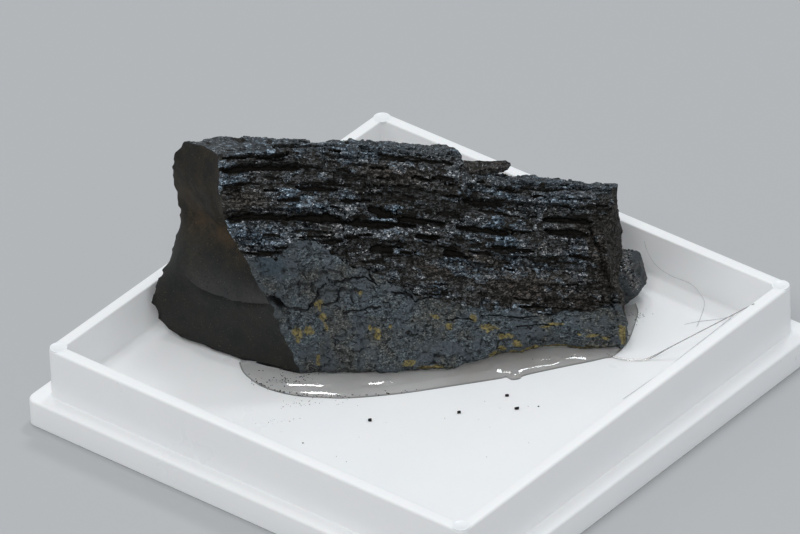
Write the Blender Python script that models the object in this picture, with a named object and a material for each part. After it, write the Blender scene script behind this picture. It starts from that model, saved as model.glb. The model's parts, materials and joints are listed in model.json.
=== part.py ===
"""A chunk of dark, layered vivianite glued into a small white specimen tray.

Three pieces: a square moulded tray, a puddle of clear glue on its floor, and the
mineral, one natural stone with stepped ledges on its front, a smooth oblique break
at its left end and a small lump low on its right end.

The tray sits square to X and Y, with the origin at the centre of its underside.
The stone is described in its own frame, in millimetres: x runs along its length,
y runs towards its hidden back and z is the height above the tray floor. That frame
is turned by STONE_TURN about the tray's centre.
"""
import math
import random

import bmesh
import bpy
import numpy as np
from mathutils import Vector, noise

MM = 0.001

# Tray, in millimetres
TRAY_SIDE = 56.0
TRAY_HEIGHT = 8.7
STEP_WIDTH = 1.65
STEP_HEIGHT = 3.0
WALL = 1.3
FLOOR_TOP = 3.7
STEP_CORNER = 1.1
WALL_CORNER = 0.9
EDGE_ROUND = 0.3
CORNER_POINTS = 5

# Stone, in millimetres
STONE_TURN = math.radians(40.0)
GAP = 0.3
COLUMNS = 52
LEDGE_SEED = 11
LEDGE_DEPTH = 0.75
SHELF_TOPS = (1.6, 3.2, 4.6, 5.8, 7.1, 8.4, 9.7, 11.1, 12.5, 13.8, 15.2)
LIP = 0.15

# Glue, in millimetres
GLUE_THICK = 1.1

# How far along the stone each rail's inner points lie, from 0 (left) to 1 (right).
# The pair at 0.62 and 0.64 is the step in the crest.
STATIONS = (0.0, 0.2, 0.45, 0.62, 0.64, 0.8, 1.0)

# Deep recesses between the ledges: where each starts and ends along x, its height
# range up the face from the shoulder, and how deep it goes.
RECESSES = (
    (-18.8, -13.0, 5.0, 6.0, 1.2), (-13.0, -7.6, 5.5, 6.6, 1.2), (-7.7, 0.3, 6.6, 7.4, 1.0),
    (-19.2, -11.6, 11.0, 12.2, 1.1), (-12.0, -6.0, 9.3, 10.3, 0.8), (-4.9, -2.0, 7.0, 8.6, 1.2),
    (-1.7, 2.2, 7.5, 8.5, 1.1), (-4.5, -2.1, 3.9, 5.1, 1.1), (2.2, 4.4, 4.9, 5.9, 1.1),
    (4.4, 8.8, 10.8, 11.9, 1.0), (3.9, 8.9, 8.2, 9.2, 1.1), (7.7, 11.1, 6.5, 7.3, 0.9),
    (10.6, 15.2, 13.8, 15.2, 1.0), (12.4, 17.0, 9.6, 10.6, 1.2), (12.7, 17.0, 8.2, 9.0, 1.0),
)

# Rails run the length of the stone. Each has its left end, the (y, z) of its five
# inner points, and its right end. In order they go round the stone: up the front,
# over the crest, down the back and forward along the underside.
RAILS = (
    ("front foot", (-12.1, -2.0, 0.3),
     ((-1.8, 0.3), (-1.0, 0.3), (-0.4, 0.3), (-0.4, 0.3), (0.2, 0.3)), (20.0, 0.7, 0.3)),
    ("low band", (-13.6, -2.2, 4.6),
     ((-2.1, 3.9), (-1.7, 3.1), (-0.9, 2.4), (-0.9, 2.4), (-0.1, 2.0)), (20.6, 0.6, 2.0)),
    ("middle band", (-15.3, -1.9, 8.8),
     ((-1.8, 7.6), (-1.5, 5.7), (-0.8, 4.3), (-0.8, 4.2), (0.0, 3.4)), (20.5, 0.7, 3.1)),
    ("shoulder", (-17.0, -1.2, 13.1),
     ((-1.0, 11.8), (-0.9, 8.1), (-0.3, 6.2), (-0.3, 6.1), (0.6, 4.8)), (19.9, 1.2, 4.5)),
    ("lower face", (-18.8, 0.8, 16.2),
     ((1.2, 14.9), (1.2, 11.8), (1.7, 9.6), (1.7, 9.4), (2.4, 8.1)), (19.2, 2.9, 7.2)),
    ("upper face", (-19.4, 3.6, 19.1),
     ((4.2, 18.1), (4.2, 15.6), (4.4, 13.8), (4.4, 13.1), (4.9, 12.1)), (18.2, 5.2, 10.9)),
    ("crest front", (-19.5, 6.4, 21.0),
     ((7.2, 20.2), (7.2, 19.1), (7.2, 18.0), (7.2, 16.0), (7.5, 14.7)), (18.8, 7.8, 13.3)),
    ("crest back", (-22.5, 9.6, 20.3),
     ((9.6, 20.2), (9.6, 18.9), (9.6, 18.1), (9.6, 15.8), (9.6, 14.6)), (19.1, 9.6, 13.2)),
    ("back top", (-23.9, 10.6, 15.7),
     ((13.2, 17.0), (13.5, 15.5), (13.5, 14.0), (13.5, 13.0), (13.2, 11.5)), (19.8, 12.0, 10.0)),
    ("back waist", (-23.5, 10.4, 10.3),
     ((15.0, 11.5), (16.2, 10.5), (16.0, 9.5), (16.0, 9.0), (15.4, 8.0)), (20.0, 12.8, 6.5)),
    ("back low", (-24.9, 8.6, 6.7),
     ((14.0, 6.0), (15.8, 5.5), (15.8, 5.0), (15.8, 5.0), (14.8, 4.2)), (20.2, 12.4, 3.5)),
    ("back foot", (-26.6, 6.0, 4.6),
     ((12.0, 1.8), (14.0, 0.6), (14.0, 0.5), (14.0, 0.5), (13.4, 0.5)), (20.0, 11.0, 0.5)),
    ("underside back", (-25.5, 5.6, 1.2),
     ((9.0, 0.6), (10.0, 0.4), (10.0, 0.4), (10.0, 0.4), (9.5, 0.4)), (19.8, 8.5, 0.4)),
    ("underside middle", (-23.0, 3.6, 0.6),
     ((5.2, 0.4), (6.0, 0.4), (6.0, 0.4), (6.0, 0.4), (6.0, 0.4)), (19.9, 5.5, 0.4)),
    ("underside front", (-17.8, 0.6, 0.3),
     ((1.6, 0.3), (2.2, 0.3), (2.6, 0.3), (2.6, 0.3), (3.0, 0.3)), (20.0, 2.8, 0.3)),
)
RAIL = {name: number for number, (name, _, _, _) in enumerate(RAILS)}


def clear_scene():
    for thing in list(bpy.data.objects):
        bpy.data.objects.remove(thing, do_unlink=True)


def material(name, color, roughness, metallic=0.0, alpha=1.0):
    mat = bpy.data.materials.new(name)
    mat.use_nodes = True
    shader = mat.node_tree.nodes["Principled BSDF"]
    shader.inputs["Base Color"].default_value = (*color, 1.0)
    shader.inputs["Roughness"].default_value = roughness
    shader.inputs["Metallic"].default_value = metallic
    shader.inputs["Alpha"].default_value = alpha
    return mat


def mesh_object(name, points_mm, faces, mat):
    mesh = bpy.data.meshes.new(name)
    mesh.from_pydata([tuple(float(c) * MM for c in p) for p in points_mm], [], faces)
    mesh.materials.append(mat)
    tidy = bmesh.new()
    tidy.from_mesh(mesh)
    bmesh.ops.recalc_face_normals(tidy, faces=tidy.faces)
    bmesh.ops.triangulate(tidy, faces=tidy.faces)
    tidy.to_mesh(mesh)
    tidy.free()
    obj = bpy.data.objects.new(name, mesh)
    bpy.context.scene.collection.objects.link(obj)
    return obj


def ring_faces(ring_count, ring_size, first=0):
    """Quads between rings of equal size, each ring following the last."""
    faces = []
    for ring in range(ring_count - 1):
        low = first + ring * ring_size
        for i in range(ring_size):
            j = (i + 1) % ring_size
            faces.append((low + i, low + j, low + ring_size + j, low + ring_size + i))
    return faces


# The tray

def rounded_square(half_side, radius, z):
    """A square with round corners, as a ring of points going anticlockwise."""
    centre = half_side - radius
    ring = []
    for corner in range(4):
        quarter = corner * math.pi / 2
        middle = quarter + math.pi / 4
        cx = centre * math.sqrt(2) * math.cos(middle)
        cy = centre * math.sqrt(2) * math.sin(middle)
        for k in range(CORNER_POINTS + 1):
            angle = quarter + math.pi / 2 * k / CORNER_POINTS
            ring.append((cx + radius * math.cos(angle), cy + radius * math.sin(angle), z))
    return ring


def make_tray():
    outer = TRAY_SIDE / 2
    wall_out = outer - STEP_WIDTH
    wall_in = wall_out - WALL
    skirt_in = outer - WALL
    step_under = STEP_HEIGHT - WALL
    floor_under = FLOOR_TOP - WALL
    e = EDGE_ROUND
    profile = (
        (wall_in - 0.4, 1.0, floor_under),
        (wall_in - 0.4, 1.0, step_under),
        (skirt_in, 0.8, step_under),
        (skirt_in, 0.8, 0.0),
        (outer, STEP_CORNER, 0.0),
        (outer, STEP_CORNER, STEP_HEIGHT - e),
        (outer - 0.3 * e, STEP_CORNER, STEP_HEIGHT - 0.3 * e),
        (outer - e, STEP_CORNER, STEP_HEIGHT),
        (wall_out, WALL_CORNER, STEP_HEIGHT),
        (wall_out, WALL_CORNER, TRAY_HEIGHT - e),
        (wall_out - 0.3 * e, WALL_CORNER, TRAY_HEIGHT - 0.3 * e),
        (wall_out - e, WALL_CORNER, TRAY_HEIGHT),
        (wall_in + 0.5 * e, 0.7, TRAY_HEIGHT),
        (wall_in, 0.6, TRAY_HEIGHT - 0.5 * e),
        (wall_in, 0.6, FLOOR_TOP + e),
        (wall_in - e, 0.6, FLOOR_TOP),
    )
    points = []
    for half_side, radius, z in profile:
        points += rounded_square(half_side, radius, z)
    size = 4 * (CORNER_POINTS + 1)
    faces = ring_faces(len(profile), size)
    faces.append(tuple(range(size)))
    faces.append(tuple(range(len(points) - size, len(points))))
    white = material("white plastic", (0.86, 0.87, 0.88), 0.32)
    return mesh_object("tray", points, faces, white)


# The stone

def through(stations, values, t):
    """A smooth curve through the values that never overshoots them."""
    stations, values = np.array(stations), np.array(values)
    width = np.diff(stations)
    slope = np.diff(values) / width
    tangent = np.zeros(len(values))
    tangent[0], tangent[-1] = slope[0], slope[-1]
    for k in range(1, len(values) - 1):
        if slope[k - 1] * slope[k] > 0:
            tangent[k] = 2 * slope[k - 1] * slope[k] / (slope[k - 1] + slope[k])
    k = min(max(int(np.searchsorted(stations, t)) - 1, 0), len(width) - 1)
    u = (t - stations[k]) / width[k]
    return ((2 * u**3 - 3 * u**2 + 1) * values[k]
            + (u**3 - 2 * u**2 + u) * width[k] * tangent[k]
            + (3 * u**2 - 2 * u**3) * values[k + 1]
            + (u**3 - u**2) * width[k] * tangent[k + 1])


def section(t):
    """The stone's cross-section at t: one point on each rail."""
    points = []
    for _, left, inner, right in RAILS:
        ys = [left[1]] + [p[0] for p in inner] + [right[1]]
        zs = [left[2]] + [p[1] for p in inner] + [right[2]]
        x = left[0] + (right[0] - left[0]) * t
        points.append((x, through(STATIONS, ys, t), through(STATIONS, zs, t)))
    return np.array(points)


def round_section(points, row):
    """A point on the section, half way between straight sides and a round curve."""
    count = len(points)
    k = int(row) % count
    u = row - int(row)
    before, start, end, after = (points[(k + d) % count] for d in (-1, 0, 1, 2))
    curve = 0.5 * (2 * start + (end - before) * u
                   + (2 * before - 5 * start + 4 * end - after) * u**2
                   + (3 * start - before - 3 * end + after) * u**3)
    straight = start + (end - start) * u
    return 0.5 * (curve + straight)


def face_rows():
    """Rows round the section, with a pair of rows at the top of every shelf."""
    middle = section(STATIONS[2])
    first, last = RAIL["shoulder"], RAIL["crest back"]
    steps = [np.linalg.norm(middle[k + 1] - middle[k]) for k in range(first, last)]
    climbed = np.concatenate(([0.0], np.cumsum(steps)))

    def row_at(height):
        return first + float(np.interp(height, climbed, range(len(climbed))))

    rows = [k / 4 for k in range(4 * first)]
    shelf = [0] * len(rows)
    climb = [0.0] * len(rows)
    bottom = 0.0
    for number, top in enumerate(SHELF_TOPS + (climbed[-1],)):
        heights = [bottom + LIP, 0.5 * (bottom + top), top - LIP]
        rows += [row_at(height) for height in heights]
        climb += heights
        shelf += [number + 1] * 3
        bottom = top
    behind = {"crest back": 3, "back top": 3, "back waist": 3, "back low": 3,
              "back foot": 2, "underside back": 2, "underside middle": 2, "underside front": 3}
    for name, pieces in behind.items():
        rows += [RAIL[name] + k / pieces for k in range(pieces)]
        shelf += [0] * pieces
        climb += [0.0] * pieces
    return rows, shelf, climb


def shelf_blocks():
    """Each shelf is broken into blocks: the x where each ends, and how far out it is."""
    dice = random.Random(LEDGE_SEED)
    shelves = []
    for _ in range(len(SHELF_TOPS) + 1):
        x, blocks = -24.0, []
        while x < 22.0:
            x += dice.uniform(2.5, 9.0)
            blocks.append((x, dice.uniform(-0.8, 0.45) * LEDGE_DEPTH))
        shelves.append(blocks)
    shelves[-1] = [(x, 0.35 * depth) for x, depth in shelves[-1]]
    return shelves


def recess_depth(x, height):
    for start, end, low, high, depth in RECESSES:
        if start <= x <= end and low <= height <= high:
            return depth
    return 0.0


def block_depth(blocks, x):
    for end, depth in blocks:
        if x < end:
            return depth
    return blocks[-1][1]


def lumps(point, scale, height):
    return noise.noise(Vector(point) / scale) * height


def left_break(point):
    """The smooth end: hollow at the waist, a soft ridge below it, a full belly."""
    z = point[2]
    hollow = -1.3 * math.exp(-((z - 12.2) / 2.4) ** 2)
    ridge = 0.5 * math.exp(-((z - 8.9) / 0.9) ** 2)
    belly = 0.9 * math.exp(-((z - 4.5) / 2.6) ** 2)
    return hollow + ridge + belly


def right_break(point):
    """The rough end: its back slab stands out past the front one."""
    y, z = point[1], point[2]
    slab = 1.6 * math.exp(-((y - 10.2) / 2.4) ** 2) * math.exp(-((z - 7.0) / 5.0) ** 2)
    return slab + lumps(point, 2.0, 0.5)


def end_cap(points, faces, loop, rings, relief):
    """Close a ring of points with a smooth skin, pushed in or out by the relief."""
    border = np.array([points[i] for i in loop])
    centre = border.mean(axis=0)
    turned = np.roll(border, -1, axis=0)
    normal = np.cross(border - centre, turned - centre).sum(axis=0)
    normal /= np.linalg.norm(normal)
    if normal[0] * centre[0] < 0:
        normal = -normal
    skin = np.array([border + (centre - border) * ring / rings for ring in range(rings)])
    hub = centre
    for _ in range(80):
        inner = np.concatenate((skin[2:], np.broadcast_to(hub, (1,) + border.shape)))
        beside = np.roll(skin[1:], 1, axis=1) + np.roll(skin[1:], -1, axis=1)
        skin[1:] = 0.25 * (skin[:-1] + inner + beside)
        hub = skin[-1].mean(axis=0)
    previous = list(loop)
    for ring in range(1, rings):
        blend = min(1.0, 2.2 * ring / rings)
        current = list(range(len(points), len(points) + len(loop)))
        points += [q + normal * relief(q) * blend for q in skin[ring]]
        for i in range(len(loop)):
            j = (i + 1) % len(loop)
            faces.append((previous[i], previous[j], current[j], current[i]))
        previous = current
    points.append(hub + normal * relief(hub))
    for i in range(len(loop)):
        faces.append((previous[i], previous[(i + 1) % len(loop)], len(points) - 1))


def stone_body():
    rows, shelf, climb = face_rows()
    shelves = shelf_blocks()
    turn = len(rows)
    points = []
    for column in range(COLUMNS + 1):
        t = column / COLUMNS
        rails = section(t)
        ring = np.array([round_section(rails, row) for row in rows])
        along = section(min(t + 0.01, 1.0)) - section(max(t - 0.01, 0.0))
        for k in range(turn):
            p = ring[k]
            around = ring[(k + 1) % turn] - ring[k - 1]
            out = np.cross(np.array([1.0, 0.0, 0.0]), -around)
            out /= np.linalg.norm(out)
            if shelf[k]:
                recess = recess_depth(p[0], climb[k])
                push = -recess if recess else block_depth(shelves[shelf[k] - 1], p[0])
            elif rows[k] < RAIL["shoulder"]:
                push = lumps(p, 3.0, 0.35)
            else:
                push = lumps(p, 4.0, 1.0) + lumps(p, 1.6, 0.4)
            edge = min(1.0, 12 * t, 12 * (1 - t))
            q = p + out * push * edge
            q[2] = max(q[2], GAP)
            points.append(q)
    faces = ring_faces(COLUMNS + 1, turn)
    end_cap(points, faces, list(range(turn)), 7, left_break)
    end_cap(points, faces, list(range(COLUMNS * turn, (COLUMNS + 1) * turn)), 5, right_break)
    return points, faces


def splinter():
    """A thin slab of the crest that juts out past its step, with a gap below it."""
    outline = ((2.5, 7.4), (2.5, 10.2), (8.6, 10.4), (9.6, 9.6), (9.3, 8.4), (6.5, 7.4))
    top, bottom, thick_end = 16.9, 15.8, 14.6
    points = [(x, y, top - 0.04 * (x - 2.5)) for x, y in outline]
    points += [(x, y, bottom if x > 8 else thick_end) for x, y in outline]
    size = len(outline)
    faces = ring_faces(2, size)
    faces += [tuple(range(size)), tuple(range(size, 2 * size))]
    return points, faces


def end_lump():
    """The lump low on the right end, an angular knob a few millimetres across."""
    ball = bmesh.new()
    bmesh.ops.create_icosphere(ball, subdivisions=3, radius=1.0)
    points = []
    for v in ball.verts:
        d = v.co.normalized()
        size = 1.0 + 0.22 * noise.noise(d * 1.6 + Vector((4.0, 1.0, 7.0)))
        p = (19.9 + 2.3 * d.x * size, 9.2 + 2.6 * d.y * size, 3.2 + 2.8 * d.z * size)
        points.append((p[0], p[1], max(p[2], GAP)))
    faces = [tuple(v.index for v in f.verts) for f in ball.faces]
    ball.free()
    return points, faces


def place_on_tray(obj):
    obj.rotation_euler = (0.0, 0.0, STONE_TURN)
    obj.location = (0.0, 0.0, FLOOR_TOP * MM)


def join_with(obj, helper):
    """Fuse the helper into the object, and keep it only as a hidden guide."""
    helper.hide_render = True
    helper.display_type = "WIRE"
    helper.parent = obj
    union = obj.modifiers.new("join " + helper.name, "BOOLEAN")
    union.operation = "UNION"
    union.solver = "EXACT"
    union.object = helper


def make_stone():
    dark = material("vivianite", (0.035, 0.042, 0.055), 0.42, metallic=0.25)
    stone = mesh_object("vivianite", *stone_body(), dark)
    place_on_tray(stone)
    join_with(stone, mesh_object("splinter guide", *splinter(), dark))
    join_with(stone, mesh_object("lump guide", *end_lump(), dark))
    return stone


# The glue

def make_glue():
    """A flat puddle in front of the stone's foot, from (x, outer y, inner y)."""
    across = (
        (-17.6, 0.0, 0.1), (-16.2, -2.6, -0.7), (-14.6, -4.5, -1.4), (-12.4, -5.9, -2.4),
        (-9.0, -6.5, -2.6), (-5.3, -6.5, -2.3), (-1.0, -6.2, -2.0), (3.5, -5.6, -1.5),
        (7.6, -4.7, -1.0), (12.0, -3.3, -0.6), (16.5, -1.8, -0.1), (19.5, -0.7, 0.2),
        (21.4, -0.4, 0.2),
    )
    points, size = [], 6
    for x, outer, inner in across:
        wide = outer - inner
        for part, height in ((0.0, 0.0), (1.0, 0.0), (0.93, 0.35), (0.7, 0.75), (0.35, 1.0),
                             (0.0, 1.0)):
            thick = GLUE_THICK * min(1.0, abs(wide) / 2.0 + 0.12)
            points.append((x, inner + wide * part, GAP + height * thick))
    faces = ring_faces(len(across), size)
    faces += [tuple(range(size)), tuple(range(len(points) - size, len(points)))]
    clear = material("clear glue", (0.80, 0.79, 0.76), 0.1, alpha=0.35)
    glue = mesh_object("glue", points, faces, clear)
    place_on_tray(glue)
    return glue


def main():
    clear_scene()
    make_tray()
    make_stone()
    make_glue()


main()
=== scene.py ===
# %% [markdown]
# # A vivianite specimen glued in its tray
#
# The object is a dark, layered chunk of vivianite, about 48 mm long, held by a puddle
# of clear hot glue on the floor of a square white specimen tray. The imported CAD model
# gives every piece its true place. This script gives them their looks: the moulded
# plastic, the glue, and above all the stone's ledges, skin and glints.

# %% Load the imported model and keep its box
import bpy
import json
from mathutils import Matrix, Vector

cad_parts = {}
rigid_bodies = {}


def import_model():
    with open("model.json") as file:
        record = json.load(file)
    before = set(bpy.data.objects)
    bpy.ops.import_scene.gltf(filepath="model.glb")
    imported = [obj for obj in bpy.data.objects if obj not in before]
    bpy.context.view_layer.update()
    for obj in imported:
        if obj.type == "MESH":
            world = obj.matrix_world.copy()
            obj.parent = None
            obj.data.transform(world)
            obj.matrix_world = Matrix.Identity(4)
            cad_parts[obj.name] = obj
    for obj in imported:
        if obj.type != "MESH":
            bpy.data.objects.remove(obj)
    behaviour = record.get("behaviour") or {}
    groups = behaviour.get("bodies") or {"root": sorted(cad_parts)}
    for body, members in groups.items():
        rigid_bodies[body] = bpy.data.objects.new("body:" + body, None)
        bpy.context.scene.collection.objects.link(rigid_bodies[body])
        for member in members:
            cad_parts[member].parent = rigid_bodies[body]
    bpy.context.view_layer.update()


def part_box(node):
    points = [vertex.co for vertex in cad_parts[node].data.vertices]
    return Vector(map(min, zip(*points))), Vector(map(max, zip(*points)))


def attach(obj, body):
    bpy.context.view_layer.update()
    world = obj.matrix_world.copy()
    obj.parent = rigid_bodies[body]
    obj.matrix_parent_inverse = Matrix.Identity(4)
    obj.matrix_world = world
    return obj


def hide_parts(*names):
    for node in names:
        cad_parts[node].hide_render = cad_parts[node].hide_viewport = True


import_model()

# %% Modules and units
import json
import math
import random

import bmesh
import bpy
import numpy as np
from mathutils import Matrix, Vector, noise

MM = 0.001

# %% [markdown]
# ## Camera
#
# A macro photograph of a small thing is taken from far away with a long lens, so its
# square tray hardly narrows towards the back. A short lens close by would bend the
# tray's corners. The camera here stands 1.2 m off with a 540 mm lens, and leans two
# degrees, as the hand-held one did.

# %% Camera at the photograph's angle
AIM = Vector((-15.26, 15.30, 0.0)) * MM
AZIMUTH = math.radians(40.04)
ELEVATION = math.radians(34.28)
LEAN = math.radians(-2.11)
CAMERA_DISTANCE = 1.21
LENS_MM = 540.0

backwards = Vector((math.sin(AZIMUTH) * math.cos(ELEVATION),
                    -math.cos(AZIMUTH) * math.cos(ELEVATION),
                    math.sin(ELEVATION)))
level_right = Vector((math.cos(AZIMUTH), math.sin(AZIMUTH), 0.0))
level_up = backwards.cross(level_right)
right = math.cos(LEAN) * level_right + math.sin(LEAN) * level_up
up = math.cos(LEAN) * level_up - math.sin(LEAN) * level_right

camera = bpy.data.objects.new("camera", bpy.data.cameras.new("camera"))
camera.data.lens = LENS_MM
camera.data.sensor_width = 36.0
camera.data.clip_end = 20.0
camera.matrix_world = (Matrix.Translation(AIM + backwards * CAMERA_DISTANCE)
                       @ Matrix((right, up, backwards)).transposed().to_4x4())
bpy.context.scene.collection.objects.link(camera)
bpy.context.scene.camera = camera
print("camera at", [round(c, 3) for c in camera.location], "m")

# %% [markdown]
# ## Node helpers
#
# Every finish below is a small graph of shader nodes. These helpers keep the graphs
# short: one starts a material with its Principled shader, one makes a node, one joins
# two sockets, one does a sum, and the others make the noises, ramps, mixes and bumps
# that nearly every finish needs. The last makes the whole of a plain finish.

# %% Helpers for shader graphs
def new_material(name):
    """A material, its graph and its Principled shader."""
    mat = bpy.data.materials.new(name)
    mat.use_nodes = True
    return mat, mat.node_tree, mat.node_tree.nodes["Principled BSDF"]


def add_node(tree, kind, **settings):
    """A node of one kind, with some of its settings."""
    node = tree.nodes.new(kind)
    for name, value in settings.items():
        setattr(node, name, value)
    return node


def join(tree, start, end):
    """A link from an output socket to an input socket."""
    tree.links.new(start, end)


def feed(tree, value, socket):
    """Join a socket to this input, or set the input to a plain value."""
    if hasattr(value, "is_output"):
        join(tree, value, socket)
    else:
        socket.default_value = value


def object_place(tree):
    """The place on the object, in metres, that the textures are laid out by."""
    return add_node(tree, "ShaderNodeTexCoord").outputs["Object"]


def compute(tree, operation, *values, kind="ShaderNodeMath"):
    """One sum on numbers or vectors; each value may be a socket or a plain number."""
    node = add_node(tree, kind, operation=operation)
    for socket, value in zip(node.inputs, values):
        feed(tree, value, socket)
    return node.outputs[0]


def set_inputs(node, **values):
    """Set a node's inputs by name, with _ for each space."""
    for name, value in values.items():
        node.inputs[name.replace("_", " ")].default_value = value


def noise_texture(tree, where, scale, detail=4.0, roughness=0.6):
    """Soft noise from about 0.3 to 0.7; its scale is how many bumps fit in a metre."""
    node = add_node(tree, "ShaderNodeTexNoise")
    set_inputs(node, Scale=scale, Detail=detail, Roughness=roughness)
    join(tree, where, node.inputs["Vector"])
    return node.outputs["Fac"]


def ramp(tree, value, *stops):
    """A colour ramp from (position, grey or colour) stops."""
    node = add_node(tree, "ShaderNodeValToRGB")
    elements = node.color_ramp.elements
    while len(elements) < len(stops):
        elements.new(0.5)
    for element, (position, color) in zip(elements, stops):
        element.position = position
        rgb = (color,) * 3 if isinstance(color, (int, float)) else color
        element.color = (*rgb, 1.0)
    join(tree, value, node.inputs["Fac"])
    return node.outputs["Color"]


def blend(tree, amount, first, second):
    """Mix two colours; each may be a socket or a plain colour."""
    node = add_node(tree, "ShaderNodeMix", data_type="RGBA")
    for number, value in ((0, amount), (6, first), (7, second)):
        feed(tree, (*value, 1.0) if isinstance(value, tuple) else value, node.inputs[number])
    return node.outputs[2]


def bump(tree, height, strength, distance, after=None):
    """Shade a height as fine relief, on top of another bump if there is one."""
    node = add_node(tree, "ShaderNodeBump")
    set_inputs(node, Strength=strength, Distance=distance)
    join(tree, height, node.inputs["Height"])
    if after is not None:
        join(tree, after, node.inputs["Normal"])
    return node.outputs["Normal"]


def plain_finish(name, scale, *stops, **values):
    """A finish of one slightly uneven colour."""
    mat, tree, shader = new_material(name)
    uneven = noise_texture(tree, object_place(tree), scale)
    join(tree, ramp(tree, uneven, *stops), shader.inputs["Base Color"])
    set_inputs(shader, **values)
    return mat


# %% [markdown]
# ## Floor and light
#
# White plastic, clear glue and a nearly black stone need one soft light for all three.
# A warm key panel a little above the camera lights the stone's face and its many small
# facets, and a wide side panel lights its broken left end. Two small panels hang high
# behind the stone. One brightens the crest, and both put bright streaks on the glue. A
# pale sky fills the shadows, and the camera sees none of the panels themselves.

# %% Pale floor
FLOOR_SIDE = 3.0

floor_mesh = bpy.data.meshes.new("floor")
half = FLOOR_SIDE / 2
floor_mesh.from_pydata([(-half, -half, 0), (half, -half, 0), (half, half, 0), (-half, half, 0)],
                       [], [(0, 1, 2, 3)])
floor = bpy.data.objects.new("floor", floor_mesh)
bpy.context.scene.collection.objects.link(floor)
floor_paint, _, floor_shader = new_material("pale floor")
set_inputs(floor_shader, Base_Color=(0.46, 0.47, 0.48, 1.0), Roughness=0.6)
floor_mesh.materials.append(floor_paint)

# %% Soft light panels and sky
def light_panel(name, azimuth, elevation, distance, size, power, tint):
    """A flat panel that faces the object, placed by its compass angle and height angle."""
    lamp = bpy.data.lights.new(name, "AREA")
    lamp.shape = "RECTANGLE"
    lamp.size, lamp.size_y = size
    lamp.energy = power
    lamp.color = tint
    panel = bpy.data.objects.new(name, lamp)
    a, e = math.radians(azimuth), math.radians(elevation)
    away = Vector((math.sin(a) * math.cos(e), -math.cos(a) * math.cos(e), math.sin(e)))
    panel.location = away * distance
    panel.rotation_euler = away.to_track_quat("Z", "Y").to_euler()
    panel.visible_camera = False
    bpy.context.scene.collection.objects.link(panel)


# Name, compass angle, height angle, distance, width and height, watts, tint
PANELS = (
    ("key panel", 30, 48, 0.60, (0.20, 0.20), 0.76, (1.0, 0.985, 0.96)),
    ("side panel", 300, 40, 0.70, (0.30, 0.30), 0.25, (1.0, 0.99, 0.97)),
    ("crest panel", 192, 62, 0.60, (0.09, 0.07), 0.50, (0.90, 0.96, 1.0)),
    ("streak panel", 246, 74, 0.60, (0.07, 0.06), 0.34, (1.0, 1.0, 1.0)),
)
for panel_values in PANELS:
    light_panel(*panel_values)

sky = bpy.data.worlds.new("sky")
sky.use_nodes = True
set_inputs(sky.node_tree.nodes["Background"], Color=(0.94, 0.97, 1.0, 1.0), Strength=0.60)
bpy.context.scene.world = sky
bpy.context.scene.view_settings.view_transform = "Standard"

# %% [markdown]
# ## Building meshes
#
# The tray, the stone, the glue and its thread are made of rings of points, each ring
# joined to the next by quads. The stone's lump and the loose grains start as a ball.
# The last helper turns points in millimetres into a named object that rides on the
# body and takes a material slot.

# %% Mesh helpers
def ring_faces(ring_count, ring_size):
    """Quads between rings of equal size, each ring following the last."""
    faces = []
    for ring in range(ring_count - 1):
        low = ring * ring_size
        for i in range(ring_size):
            j = (i + 1) % ring_size
            faces.append((low + i, low + j, low + ring_size + j, low + ring_size + i))
    return faces


def ball(subdivisions):
    """The points of a ball of radius 1, and its triangles."""
    form = bmesh.new()
    bmesh.ops.create_icosphere(form, subdivisions=subdivisions, radius=1.0)
    points = [v.co.copy() for v in form.verts]
    faces = [tuple(v.index for v in f.verts) for f in form.faces]
    form.free()
    return points, faces


def make_piece(name, points_mm, faces, slot, *materials):
    """A named object from points in millimetres, on the body; the slot is not used."""
    mesh = bpy.data.meshes.new(name)
    mesh.from_pydata((np.asarray(points_mm) * MM).tolist(), [], faces)
    for mat in materials:
        mesh.materials.append(mat)
    tidy = bmesh.new()
    tidy.from_mesh(mesh)
    bmesh.ops.recalc_face_normals(tidy, faces=tidy.faces)
    tidy.to_mesh(mesh)
    tidy.free()
    piece = bpy.data.objects.new(name, mesh)
    bpy.context.scene.collection.objects.link(piece)
    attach(piece, "root")
    print(name, "has", len(points_mm), "points and", len(faces), "faces")
    return piece


# %% [markdown]
# ## The tray
#
# A specimen tray is one injection moulding: a step round its foot for the lid to sit
# on, and a thin wall. Every edge of a moulding is a little round, and a turned profile
# gives that: the same square ring is repeated up, over and down, with its corner radius
# changing on the way. The small discs on the rim's corners are the marks of the pins
# that pushed the tray out of its mould.

# %% Tray sizes, from the CAD box
tray_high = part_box("tray")[1] / MM
TRAY_OUT = tray_high.x
TRAY_TOP = tray_high.z
STEP_WIDTH = 1.65
STEP_TOP = 3.0
WALL = 1.3
FLOOR_TOP = 3.7
EDGE_ROUND = 0.28
RIM_INNER_ROUND = 0.15
FLOOR_FILLET = 0.35
FOOT_BEVEL = 0.1
STEP_CREASE = 0.12
UNDER_INSET = 0.4
# Radii of the square's corners: underneath, round the step, outside the wall, inside it
UNDER_CORNER, SKIRT_CORNER = 1.0, 0.8
STEP_CORNER, WALL_CORNER, INNER_CORNER = 1.1, 0.9, 0.6
CORNER_POINTS = 10
EDGE_POINTS = 5
print("tray half side", round(TRAY_OUT, 2), "and height", round(TRAY_TOP, 2), "mm")

# %% Tray mesh
def rounded_square(half_side, radius, z):
    """One ring of points: a square with round corners, at one height."""
    centre = half_side - radius
    ring = []
    for corner in range(4):
        quarter = corner * math.pi / 2
        cx = centre * math.sqrt(2) * math.cos(quarter + math.pi / 4)
        cy = centre * math.sqrt(2) * math.sin(quarter + math.pi / 4)
        for k in range(CORNER_POINTS + 1):
            angle = quarter + math.pi / 2 * k / CORNER_POINTS
            ring.append((cx + radius * math.cos(angle), cy + radius * math.sin(angle), z))
    return ring


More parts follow.
